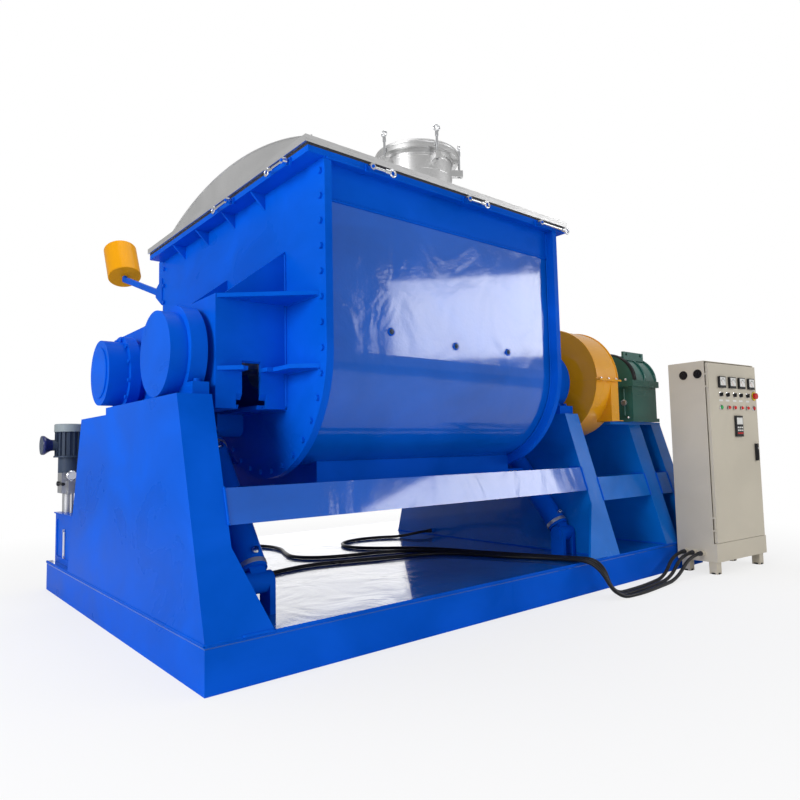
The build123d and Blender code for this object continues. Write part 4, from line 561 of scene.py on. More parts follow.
@dataclass
class Cables:
    """Three power cables from the cabinet over the floor onto the deck.

    Attributes:
        diameter: Outside diameter of the sheath.
        gland: Height of the cabinet's glands.
        floor: Height of the centre line on the floor.
        deck: Height of the centre line on the deck.
    """

    diameter: float = 0.024
    gland: float = 0.150
    floor: float = 0.0123
    deck: float = 0.2173
    edge: float = 0.2213
    rise: float = 0.2323
    end: float = 0.245

    def routes(self) -> dict[str, tuple[list[tuple[float, float, float]], float, str]]:
        """Control points, length and far end of each cable.

        Returns:
            Cable name to its points in metres, its length and what its far end is.
        """
        g, f, d, e, r, s = self.gland, self.floor, self.deck, self.edge, self.rise, self.end
        return {
            "power_cable_1": ([
                (1.62792, -1.63995, g), (1.48339, -1.62832, g), (1.27, -1.634, f), (0.97, -1.668, f),
                (0.70, -1.69, f), (0.47, -1.66, f), (0.428, -1.545, r), (0.404, -1.30, e), (0.352, -1.13, d),
                (0.25, -0.96, d), (0.18, -0.76, d), (0.09, -0.56, d), (-0.09, -0.44, d), (-0.35, -0.385, d),
                (-0.61, -0.30, d), (-0.87, -0.232, d), (-1.06, -0.262, d), (-1.203, -0.302, d),
            ], 3.795, "bare"),
            "power_cable_2": ([
                (1.63313, -1.57516, g), (1.4886, -1.56353, g), (1.28, -1.582, f), (0.98, -1.622, f),
                (0.735, -1.64, f), (0.50, -1.618, f), (0.468, -1.54, r), (0.444, -1.30, e), (0.392, -1.11, d),
                (0.30, -0.93, d), (0.22, -0.70, d), (0.12, -0.45, d), (-0.03, -0.25, d), (-0.25, -0.15, d),
                (-0.47, -0.11, d), (-0.68, -0.03, d), (-0.79, 0.13, d), (-0.735, 0.33, d), (-0.64, 0.56, d),
                (-0.66, 0.80, d), (-0.83, 0.98, d), (-1.08, 1.06, d), (-1.35, 1.09, d), (-1.56, 1.075, s),
                (-1.72, 1.075, s),
            ], 5.434, "object"),
            "power_cable_3": ([
                (1.63834, -1.51037, g), (1.49381, -1.49874, g), (1.29, -1.53, f), (1.0, -1.575, f),
                (0.775, -1.59, f), (0.545, -1.58, f), (0.508, -1.535, r), (0.484, -1.30, e),
                (0.432, -1.09, d),
                (0.35, -0.90, d), (0.262, -0.66, d), (0.19, -0.40, d), (0.06, -0.16, d), (-0.14, 0.02, d),
                (-0.25, 0.22, d), (-0.18, 0.43, d), (0.03, 0.53, d), (0.26, 0.50, d), (0.43, 0.385, d),
                (0.575, 0.32, s), (0.715, 0.32, s),
            ], 4.397, "object"),
        }

    def build(self) -> None:
        for node, (points, length, far_end) in self.routes().items():
            curve = bpy.data.curves.new(f"{node}_sheath", "CURVE")
            curve.dimensions = "3D"
            curve.bevel_depth = self.diameter / 2
            curve.bevel_resolution = 4
            curve.resolution_u = 8
            curve.use_fill_caps = True
            spline = curve.splines.new("NURBS")
            spline.points.add(len(points) - 1)
            flat = np.array([(*point, 1.0) for point in points])
            spline.points.foreach_set("co", flat.ravel())
            spline.order_u = 3
            spline.use_endpoint_u = True
            curve.materials.append(SHEATH.material())
            cable = bpy.data.objects.new(f"{node}_sheath", curve)
            bpy.context.scene.collection.objects.link(cable)
            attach(cable, "machine_frame")
            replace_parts(cable, node)
            log.info("%s: %d control points, %.3f m", node, len(points), length)


@dataclass
class Reliefs:
    """Tapered bend protectors on the cables where they enter a housing.

    Attributes:
        length: Length of a protector.
        wide: Radius at the housing.
        narrow: Radius at the mouth.
        rings: Number of ribs around it.
    """

    length: float = 0.042
    wide: float = 0.0175
    narrow: float = 0.0142
    rings: int = 6

    def build(self) -> None:
        """Make one protector per gland, ribbed and narrowing towards its mouth."""
        shape = Shape("cable_reliefs", "machine_frame", (SEAL,))
        routes = Cables().routes()
        ends = [(points[0], points[1]) for points, _, _ in routes.values()]
        ends += [(points[-1], points[-2]) for points, _, far_end in routes.values() if far_end == "object"]
        profile = [(self.wide, 0.0)]
        for ring in range(self.rings):
            start, share = self.length * ring / self.rings, ring / self.rings
            radius = self.wide + (self.narrow - self.wide) * share
            profile += [(radius, start + 0.001), (radius, start + 0.0045), (radius - 0.0014, start + 0.0052)]
        profile += [(self.narrow - 0.0014, self.length), (0.0118, self.length)]
        for place, beyond in ends:
            shape.lathe(place, Vector(beyond) - Vector(place), profile, 28)
        shape.make()


@dataclass
class WeightDress:
    """Round counterweights on the ends of the lid's arms.

    Attributes:
        radius: Radius of a weight.
        bore: Radius of its bore on the arm.
        chamfer: Chamfer of its rims.
        start: Distance from the arm's end to the near face.
        depth: Distance to the bottom of the bore.
        end: Distance to the far face.
    """

    radius: float = 0.133
    bore: float = 0.0205
    chamfer: float = 0.005
    start: float = 0.026
    depth: float = 0.3103
    end: float = 0.330
    tilt: float = 27.0
    places: tuple[float, float] = (-1.48, 0.24)
    arm_end: tuple[float, float] = (1.725, 2.47)

    def build(self) -> None:
        """Turn both weights and put them in the place of the CAD node."""
        weights = Shape("counterweights_turned", "lid", (AMBER,))
        lean = math.radians(self.tilt)
        rim = self.radius - self.chamfer
        profile = ((0.0, self.depth), (self.bore, self.depth), (self.bore, self.start), (rim, self.start),
                   (self.radius, self.start + self.chamfer), (self.radius, self.end - self.chamfer),
                   (rim, self.end), (0.0, self.end))
        for x in self.places:
            weights.lathe((x, *self.arm_end), (0.0, math.sin(lean), math.cos(lean)), profile, 72)
        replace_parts(weights.make(), "counterweights")


@dataclass
class BearingDress:
    """Foot bolts of the front housings and flange screws of the rear one."""

    rear_radius: float = 0.208
    bolt: float = 0.014

    def build(self) -> None:
        """Make the foot bolts on the frame and the flange screws on the trough."""
        caps = Shape("trunnion_foot_screws", "machine_frame", (BLUE,))
        for y in (-1.04, -0.61):
            caps.bolt((LEFT + 0.125, y, 1.30), (0, 0, 1), 0.018, 0.02)
            caps.bolt((0.785, y, 1.26), (0, 0, 1), 0.018, 0.02)
            caps.bolt((0.86, y, 1.26), (0, 0, 1), 0.018, 0.02)
        caps.make()
        rear = Shape("rear_housing_screws", "trough", (BLUE,))
        for place in ring_places((-2.0, REAR_SHAFT_Y, SHAFT_Z), 0, self.rear_radius, 12, 15.0):
            rear.bolt(place, (-1, 0, 0), self.bolt * 0.9, 0.012)
        rear.lathe((-2.11, REAR_SHAFT_Y, SHAFT_Z), (-1, 0, 0),
                   ((0.150, 0.0), (0.150, 0.006), (0.140, 0.008), (0.0, 0.008)), 48)
        rear.make()


@dataclass
class WeldSeams:
    """Rippled fillet welds where plates meet."""

    radius: float = 0.007
    pitch: float = 0.012

    def bead(self, shape: Shape, start: Point, end: Point) -> None:
        """Add one straight bead.

        Args:
            shape: Mesh to add to.
            start: First point.
            end: Last point.
        """
        a, b = np.array(start, float), np.array(end, float)
        count = max(4, int(np.linalg.norm(b - a) / self.pitch))
        share = np.linspace(0.0, 1.0, count)[:, None]
        shape.tube(a + (b - a) * share, self.radius, 6, ripple=0.09)

    def build(self) -> None:
        """Lay beads on the frame and on the trough."""
        welds = Shape("frame_welds", "machine_frame", (BLUE,))
        for z in (DECK_Z - 0.004, DECK_Z - 0.010):
            self.bead(welds, (LEFT, FRONT + 0.002, z), (-LEFT - 0.002, FRONT + 0.002, z))
            self.bead(welds, (LEFT + 0.002, FRONT, z), (LEFT + 0.002, -FRONT, z))
        rear_y = FRONT + 2.235
        self.bead(welds, (-1.935, FRONT - 0.002, DECK_Z), (-1.788, FRONT - 0.002, DECK_Z))
        self.bead(welds, (-1.934, FRONT + 0.02, DECK_Z), (-1.934, rear_y, DECK_Z))
        for x in (0.744, 0.901, 1.544, 1.719, 1.894):
            self.bead(welds, (x, FRONT + 0.02, DECK_Z), (x, rear_y, DECK_Z))
        for x in (-1.934, 0.744):
            self.bead(welds, (x, slope_y(0.652) - 0.001, 0.652), (x, slope_y(0.812) - 0.001, 0.812))
            self.bead(welds, (x, slope_y(0.812), 0.813), (x, slope_y(0.812) + 0.1, 0.813))
        for x in (0.901, 1.544, 1.719, 1.894):
            self.bead(welds, (x, slope_y(0.572) - 0.001, 0.572), (x, slope_y(0.735) - 0.001, 0.735))
            self.bead(welds, (x, slope_y(0.735), 0.736), (x, slope_y(0.735) + 0.11, 0.736))
        welds.make()
        trough = Shape("trough_welds", "trough", (BLUE,))
        for z in (1.18, 1.73):
            self.bead(trough, (-1.522, -1.075, z), (-1.522, 0.425, z))
        for z in (1.711, 1.361):
            self.bead(trough, (-1.523, -1.39, z), (-1.523, -1.08, z))
        for y in (-1.077, 0.427):
            self.bead(trough, (-1.523, y, 1.19), (-1.523, y, 1.98))
        for y in (-1.453, 0.703):
            self.bead(trough, (-1.51, y, 2.368), (0.27, y, 2.368))
        self.bead(trough, (-1.47, -1.397, 2.190), (0.23, -1.397, 2.190))
        for x in (-1.478, 0.238):
            turn = np.linspace(math.pi, 1.42 * math.pi, 60)
            wrap = [(x, FRONT_SHAFT_Y + 0.572 * math.cos(t), SHAFT_Z + 0.572 * math.sin(t)) for t in turn]
            drop = [(x, -1.397, z) for z in np.arange(2.36, SHAFT_Z, -self.pitch)]
            trough.tube(drop + wrap, self.radius, 6, ripple=0.09)
        trough.make()


@dataclass
class JacketDress:
    """Screwed plugs in the jacket's three ports."""

    front: float = -1.398

    def build(self) -> None:
        """Make the plugs."""
        plugs = Shape("jacket_plugs", "trough", (SLATE, BLUE))
        for x, z in ((-1.088, 1.573), (-0.62, 1.537), (-0.179, 1.539)):
            plugs.lathe((x, self.front, z), (0, -1, 0), ((0.022, 0.0), (0.022, 0.004), (0.016, 0.006)), 24, 1)
            plugs.bolt((x, self.front - 0.004, z), (0, -1, 0), 0.010, 0.010, 0)
        plugs.make()


@dataclass
class LidDress:
    """Weld seams of the vault and edge trim of the flange."""

    left: float = -1.629
    right: float = 0.389
    top: float = 2.4463

    def arc(self, x: float, count: int = 40) -> list[tuple[float, float, float]]:
        """Points along the vault's top edge.

        The edge is the circle through the front, crown and rear points of the vault.

        Args:
            x: Position along the machine.
            count: Number of points.

        Returns:
            The points from front to rear.
        """
        a, b, c = (-1.435, 2.461), (-0.5123, 2.625), (0.455, 2.4463)
        d = 2 * (a[0] * (b[1] - c[1]) + b[0] * (c[1] - a[1]) + c[0] * (a[1] - b[1]))
        squares = [p[0] ** 2 + p[1] ** 2 for p in (a, b, c)]
        cy = (squares[0] * (b[1] - c[1]) + squares[1] * (c[1] - a[1]) + squares[2] * (a[1] - b[1])) / d
        cz = (squares[0] * (c[0] - b[0]) + squares[1] * (a[0] - c[0]) + squares[2] * (b[0] - a[0])) / d
        radius = math.hypot(a[0] - cy, a[1] - cz)
        first, last = math.atan2(a[1] - cz, a[0] - cy), math.atan2(c[1] - cz, c[0] - cy)
        turns = np.linspace(first, last, count)
        return [(x, cy + radius * math.cos(t), cz + radius * math.sin(t)) for t in turns]

    def build(self) -> None:
        """Make the trim, all on the lid."""
        seams = Shape("lid_seams", "lid", (STEEL, MACHINED))
        for x in (-1.580, 0.340):
            seams.tube(self.arc(x, 120), 0.0045, 8, ripple=0.07)
        for y, z in ((-1.437, 2.4475), (0.457, 2.447)):
            path = [(x, y, z) for x in np.linspace(-1.58, 0.34, 150)]
            seams.tube(path, 0.0045, 8, ripple=0.07)
        neck = ring_places((-0.57, -1.05, 0.0), 2, 0.219, 96)
        hoop = [(p.x, p.y, self.vault_z(p.y) + 0.002) for p in neck]
        seams.tube(hoop + hoop[:2], 0.006, 8, ripple=0.06)
        seams.make()

    def vault_z(self, y: float) -> float:
        """Height of the vault over a Y.

        Args:
            y: Position across the machine.

        Returns:
            Height of the sheet's top.
        """
        points = self.arc(0.0, 60)
        return float(np.interp(y, [p[1] for p in points], [p[2] for p in points]))


@dataclass
class ManholeDress:
    """Grip and rim bead of the manhole cover."""

    centre: tuple[float, float] = (-0.57, -1.05)

    def build(self) -> None:
        """Make the cover's grip and the neck's ring."""
        x, y = self.centre
        cover = Shape("manhole_grip", "manhole_lid", (STEEL, CHROME))
        path = []
        for t in np.linspace(0.0, math.pi, 21):
            path.append((x - 0.075 * math.cos(t), y, 2.787 + 0.045 * min(1.0, 1.6 * math.sin(t))))
        cover.tube(path, 0.008, 12, 1)
        cover.lathe((x, y, 2.7743), (0, 0, 1), ((0.258, -0.003), (0.2615, -0.006), (0.2615, -0.016),
                                                 (0.258, -0.019)), 64, 0, True)
        cover.make()
        neck = Shape("manhole_rim", "lid", (STEEL,))
        neck.lathe((x, y, 2.73), (0, 0, 1), ((0.216, -0.012), (0.222, -0.006), (0.228, 0.0)), 64, 0, True)
        for height in (2.62, 2.70):
            neck.lathe((x, y, height), (0, 0, 1), ((0.2152, -0.003), (0.2172, 0.0), (0.2152, 0.003)), 64, 0,
                       True)
        neck.make()


@dataclass
class GuardDress:
    """Rolled rims and split bolts of the round guard."""

    radius: float = 0.418
    left: float = -2.1 + 3.085
    length: float = 0.285

    def build(self) -> None:
        """Make the trim on both halves."""
        trim = Shape("guard_trim", "machine_frame", (ORANGE, CHROME))
        for x in (self.left + 0.004, self.left + self.length - 0.004):
            upper = []
            for t in np.linspace(math.radians(2), math.radians(178), 80):
                upper.append((x, FRONT_SHAFT_Y + (self.radius + 0.002) * math.cos(t),
                              SHAFT_Z + (self.radius + 0.002) * math.sin(t)))
            trim.tube(upper, 0.005, 8)
        for side in (-1, 1):
            for share in (0.15, 0.5, 0.85):
                place = (self.left + share * self.length, FRONT_SHAFT_Y + side * (self.radius + 0.014),
                         SHAFT_Z + 0.006)
                trim.bolt(place, (0, 0, 1), 0.009, 0.012, 1)
        trim.make()


@dataclass
class ReducerDress:
    """Flange bolts, ribs, oil gauge, breather and bearing covers of the reducer."""

    left: float = 1.52
    right: float = 1.88
    near: float = -1.225
    far: float = 0.535
    height: float = 0.248
    flat: float = 0.74

    def build(self) -> None:
        """Make the trim on the frame body."""
        trim = Shape("reducer_trim", "machine_frame", (GREEN, CHROME, MACHINED, BLACK))
        top = SHAFT_Z + 0.0253
        for y in np.linspace(self.near + 0.06, self.far - 0.06, 9):
            for x in (self.left - 0.009, self.right + 0.009):
                trim.bolt((x, float(y), top), (0, 0, 1), 0.009, 0.014, 1)
        for y in (self.near + 0.05, self.far - 0.05, (self.near + self.far) / 2):
            for x in (self.left - 0.009, self.right + 0.009):
                trim.bolt((x, y, 1.1733), (0, 0, 1), 0.008, 0.014, 1)
        for y, radius in ((FRONT_SHAFT_Y, 0.150), (0.175, 0.082)):
            for place in ring_places((self.left - 0.02, y, SHAFT_Z), 0, radius, 8, 22.5):
                trim.bolt(place, (-1, 0, 0), 0.008, 0.010, 1)
        for y in (-1.0, -0.72, -0.44):
            trim.block((self.right + 0.004, y, SHAFT_Z + 0.13), (0.008, 0.014, 0.20), 0.002)
            trim.block((self.left - 0.004, y - 0.14, SHAFT_Z - 0.15), (0.008, 0.014, 0.22), 0.002)
        trim.lathe((self.left - 0.001, -1.14, 1.30), (-1, 0, 0),
                   ((0.024, 0.0), (0.024, 0.010), (0.018, 0.013),
                                                                   (0.0, 0.013)), 24, 2)
        trim.lathe((1.70, -0.647, 1.745), (0, 0, 1),
                   ((0.026, 0.0), (0.026, 0.02), (0.018, 0.03), (0.0, 0.032)), 20, 2)
        for x, width, tone in ((self.left + 0.012, 0.013, 3), (self.left + 0.040, 0.007, 3), (1.70, 0.008, 0),
                               (self.right - 0.014, 0.009, 0)):
            self.arch(trim, x, width, tone)
        trim.make()

    def arch(self, shape: Shape, x: float, radius: float, tone: int) -> None:
        """Add a round rib over the cover, along its rounded near end and its flat top.

        Args:
            shape: Mesh to add to.
            x: Place along the shafts.
            radius: Radius of the rib's section.
            tone: Material index.
        """
        head_y, top = self.near + self.height, SHAFT_Z + self.height
        path = []
        for turn in np.linspace(math.radians(186), math.radians(90), 30):
            path.append((x, head_y + self.height * math.cos(turn), SHAFT_Z + 0.026 + (self.height - 0.026)
                         * max(0.0, math.sin(turn))))
        path += [(x, head_y + reach, top) for reach in np.linspace(0.05, self.flat, 12)]
        shape.tube(path, radius, 8, tone)


@dataclass
class HydraulicDress:
    """Gauge, pipe, filler cap, level glass, solenoids and motor cap of the power unit."""

    x: float = -1.99
    y: float = 1.315

    def pipe(self, shape: Shape, corners: Sequence[Point], radius: float, tone: int) -> None:
        """Add a pipe with rounded corners, each corner cut by a quadratic arc.

        Args:
            shape: Mesh to add to.
            corners: Corner points.
            radius: Pipe radius.
            tone: Material index.
        """
        points = [np.array(corner, float) for corner in corners]
        path = [points[0]]
        for before, at, after in zip(points, points[1:], points[2:]):
            reach = min(0.05, 0.45 * np.linalg.norm(at - before), 0.45 * np.linalg.norm(after - at))
            a = at + (before - at) / np.linalg.norm(before - at) * reach
            b = at + (after - at) / np.linalg.norm(after - at) * reach
            for t in np.linspace(0.0, 1.0, 7):
                path.append((1 - t) ** 2 * a + 2 * t * (1 - t) * at + t * t * b)
        path.append(points[-1])
        shape.tube(path, radius, 10, tone)

    def build(self) -> None:
        """Make the unit's trim and the pump motor's trumpet."""
        unit = Shape("hydraulic_trim", "machine_frame", (MACHINED, BLACK, DIAL, CHROME, GREY))
        unit.lathe((-1.98, 1.045, 0.596), (0, 0, 1),
                   ((0.040, 0.0), (0.040, 0.030), (0.034, 0.036), (0.0, 0.036)), 24, 1)
        for z in (0.26, 0.44):
            unit.lathe((-2.046, 1.14, z), (-1, 0, 0), ((0.012, 0.0), (0.012, 0.012), (0.0, 0.012)), 16, 3)
        unit.block((-2.052, 1.14, 0.35), (0.010, 0.022, 0.20), 0.002, tone=2)
        gauge = (self.x - 0.02, self.y - 0.17, 0.83)
        unit.lathe(gauge, (0, -1, 0), ((0.032, 0.0), (0.034, 0.003), (0.034, 0.024), (0.030, 0.027)), 32, 3)
        unit.lathe((gauge[0], gauge[1] - 0.024, gauge[2]), (0, -1, 0), ((0.030, 0.0), (0.0, 0.0)), 32, 2)
        unit.tube([(gauge[0], gauge[1] - 0.012, gauge[2] - 0.033), (gauge[0], gauge[1] - 0.012, 0.789)],
                  0.007, 10, 3)
        for z in (0.72, 0.76):
            unit.lathe((self.x + 0.03, self.y - 0.15, z), (0, -1, 0),
                       ((0.018, 0.0), (0.018, 0.055), (0.015, 0.06), (0.0, 0.06)), 20, 1)
        self.pipe(unit, ((self.x + 0.07, self.y - 0.02, 0.74), (self.x + 0.13, self.y - 0.02, 0.74),
                         (self.x + 0.13, self.y - 0.02, 0.58), (self.x + 0.13, self.y - 0.10, 0.56)), 0.009, 0)
        unit.lathe((self.x, self.y, 1.146), (0, 0, 1),
                   ((0.0973, 0.002), (0.0985, 0.004), (0.0985, 0.054), (0.092, 0.060), (0.0, 0.062)), 40, 4)
        unit.make()
        motor = Shape("pump_motor_trumpet", "machine_frame", (NAVY,))
        base = (self.x - 0.1145, self.y, 1.05)
        bell = ((0.041, 0.0), (0.044, 0.012), (0.056, 0.03), (0.0665, 0.045), (0.0695, 0.05),
                (0.0695, 0.066), (0.060, 0.068), (0.048, 0.050), (0.0, 0.046))
        motor.lathe(base, (-1, 0, 0), bell, 40, 0, True)
        motor.make()


@dataclass
class CylinderDress:
    """Wipers, ports and bands of the tilting cylinders."""

    places: tuple[float, float] = (-1.715, 0.665)

    def build(self) -> None:
        """Make the barrel trim; it swings with the barrels."""
        trim = Shape("barrel_trim", "barrels", (MACHINED, CHROME))
        way = Vector((0.0, 0.615076, 0.788468))
        out = Vector((0.0, -way.z, way.y))
        fitting = ((0.018, 0.0), (0.018, 0.018), (0.012, 0.020), (0.012, 0.032), (0.0, 0.032))
        band = ((0.070, 0.0), (0.0735, 0.002), (0.0735, 0.022), (0.070, 0.024))
        for x in self.places:
            foot = Vector((x, -1.125, 0.352))
            end = foot + way * 0.8376
            trim.lathe(end, way, ((0.066, 0.0), (0.066, 0.004), (0.046, 0.010), (0.0385, 0.010)), 32, 0)
            for reach in (0.13, 0.77):
                port = foot + way * reach + out * 0.066
                trim.lathe(port, out, fitting, 16, 1)
            for reach in (0.075, 0.80):
                trim.lathe(foot + way * reach, way, band, 40, 0)
        trim.make()


@dataclass
class CabinetDress:
    """Meters, lamps, keypad and vents of the control cabinet.

    Attributes:
        corner: World X and Y of the cabinet's left front corner.
        turn: Turn about Z in degrees.
        width: Width of the cabinet.
        meters: Places of the meters along the front.
        knobs: Places of the selector knobs.
        lamps: Places of the signal lamps.
        buttons: Places of the start and stop buttons.
        meter_z: Height of the meters.
        knob_z: Height of the knobs and of the emergency stop.
        lamp_z: Height of the lamps and buttons.
        vent_z: Height of the vents in the left side.
    """

    corner: tuple[float, float] = (1.649, -1.752)
    turn: float = -4.6
    width: float = 0.725
    meters: tuple[float, ...] = (0.187, 0.335, 0.475, 0.620)
    knobs: tuple[float, ...] = (0.172, 0.267, 0.370, 0.463, 0.567)
    lamps: tuple[float, ...] = (0.273, 0.359, 0.465, 0.554)
    buttons: tuple[float, float] = (0.167, 0.652)
    meter_z: float = 1.423
    knob_z: float = 1.329
    lamp_z: float = 1.231
    vent_z: float = 1.484

    def place(self, u: float, v: float, z: float) -> Vector:
        """World point of cabinet coordinates.

        Args:
            u: Along the front.
            v: Into the cabinet.
            z: Height.

        Returns:
            The world point, corner + u * right + v * inward.
        """
        angle = math.radians(self.turn)
        c, s = math.cos(angle), math.sin(angle)
        return Vector((self.corner[0] + u * c - v * s, self.corner[1] + u * s + v * c, z))

    def build(self) -> None:
        """Make the door's fittings, the body's vents and roof sheet, and black pucks under its corners as
        painted shadow at its base.
        """
        turn = Matrix.Rotation(math.radians(self.turn), 4, "Z")
        front = turn @ Vector((0, -1, 0))
        panel = Shape("panel_faces", "door", (BLACK, DIAL, RED, LAMP, YELLOW, CHROME))
        for u in self.meters:
            panel.block(self.place(u, -0.0135, self.meter_z), (0.092, 0.007, 0.088), 0.002, turn)
            panel.block(self.place(u, -0.0172, 1.428), (0.074, 0.002, 0.064), 0.0005, turn, 1)
            for tick in range(11):
                angle = math.radians(40 + 10 * tick)
                at = self.place(u + 0.033 * math.cos(angle), -0.0186, 1.402 + 0.045 * math.sin(angle))
                lean = turn @ Matrix.Rotation(-(angle - math.pi / 2), 4, "Y")
                panel.block(at, (0.0012, 0.0008, 0.008 if tick % 5 else 0.012), 0.0002, lean)
            lean = turn @ Matrix.Rotation(math.radians(-38), 4, "Y")
            panel.block(self.place(u - 0.012, -0.0188, 1.418), (0.0012, 0.0008, 0.044), 0.0002, lean, 2)
            panel.block(self.place(u, -0.0178, 1.391), (0.074, 0.002, 0.012), 0.0005, turn, 0)
        for u in self.lamps:
            centre = self.place(u, -0.006, self.lamp_z)
            panel.lathe(centre, front, ((0.0165, 0.0), (0.0165, 0.002), (0.0145, 0.003)), 24, 5)
            panel.lathe(centre, front, ((0.0130, 0.0), (0.0130, 0.008), (0.010, 0.0125), (0.005, 0.015),
                                        (0.0, 0.0158)),
                        24, 2, True)
        for u in self.knobs:
            panel.lathe(self.place(u, 0.0, self.knob_z), front,
                        ((0.020, 0.0), (0.020, 0.0018), (0.0165, 0.0025)),
                        28, 5)
            panel.block(self.place(u, -0.001, 1.284), (0.050, 0.002, 0.014), 0.0005, turn, 1)
        for u in self.buttons:
            panel.lathe(self.place(u, 0.0, self.lamp_z), front,
                        ((0.021, 0.0), (0.021, 0.0035), (0.0185, 0.0085)),
                        28, 5)
        panel.lathe(self.place(0.672, -0.002, self.knob_z), front,
                    ((0.035, 0.0), (0.035, 0.0012), (0.0245, 0.0018)), 40, 4)
        panel.block(self.place(0.400, -0.0172, 1.128), (0.082, 0.003, 0.052), 0.001, turn, 1)
        for row in range(3):
            for column in range(3):
                panel.block(self.place(0.372 + 0.028 * column, -0.018, 1.078 - 0.022 * row),
                            (0.018, 0.005, 0.012),
                            0.0012, turn, 1 if row < 2 else 2)
        panel.make()
        vents = Shape("cabinet_vents", "machine_frame", (BLACK, BEIGE))
        left = turn @ Vector((-1, 0, 0))
        for v in (0.187, 0.073):
            vents.lathe(self.place(-0.004, v, self.vent_z), left,
                        ((0.034, 0.0), (0.034, 0.0015), (0.0, 0.0015)),
                        40, 0)
            for level in range(-4, 5):
                half = math.sqrt(max(0.0, 0.031 ** 2 - (0.007 * level) ** 2))
                vents.block(self.place(-0.0068, v, self.vent_z + 0.007 * level), (0.003, 2 * half, 0.0022),
                            0.0006, turn, 0)
        vents.block(self.place(self.width / 2, 0.166, 1.5795), (self.width - 0.01, 0.28, 0.003), 0.001,
                    turn, 1)
        # Black pucks under the cabinet's four corners: painted shadow at the foot of the cabinet.
        for u in (0.05, 0.675):
            for v in (0.05, 0.263):
                vents.lathe(self.place(u, v, 0.0), (0, 0, 1),
                            ((0.034, 0.0005), (0.034, 0.010), (0.028, 0.014)), 24, 0)
        vents.make()
        grip = Shape("handle_insert", "handle", (CHROME, BLACK))
        grip.lathe(self.place(0.65, -0.0203, 0.915), front, ((0.008, 0.0), (0.008, 0.002), (0.0, 0.002)),
                   20, 0)
        grip.block(self.place(0.65, -0.021, 0.865), (0.016, 0.006, 0.075), 0.002, turn, 1)
        grip.make()


@dataclass
class MotorDress:
    """Cowl grille and terminal box lid with its screws of the drive motor."""

    def build(self) -> None:
        """Make the motor's trim."""
        trim = Shape("drive_motor_trim", "machine_frame", (BLUE, BLACK, CHROME))
        for radius in (0.05, 0.085, 0.12, 0.155):
            hoop = ring_places((0.699, 0.175, SHAFT_Z), 0, radius, 48)
            trim.tube([tuple(p) for p in hoop + hoop[:2]], 0.0022, 6, 1)
        trim.block((1.025, 0.175, 1.7195), (0.178, 0.158, 0.008), 0.002)
        for x in (0.955, 1.095):
            for y in (0.115, 0.235):
                trim.bolt((x, y, 1.7235), (0, 0, 1), 0.005, 0.005, 2)
        trim.make()


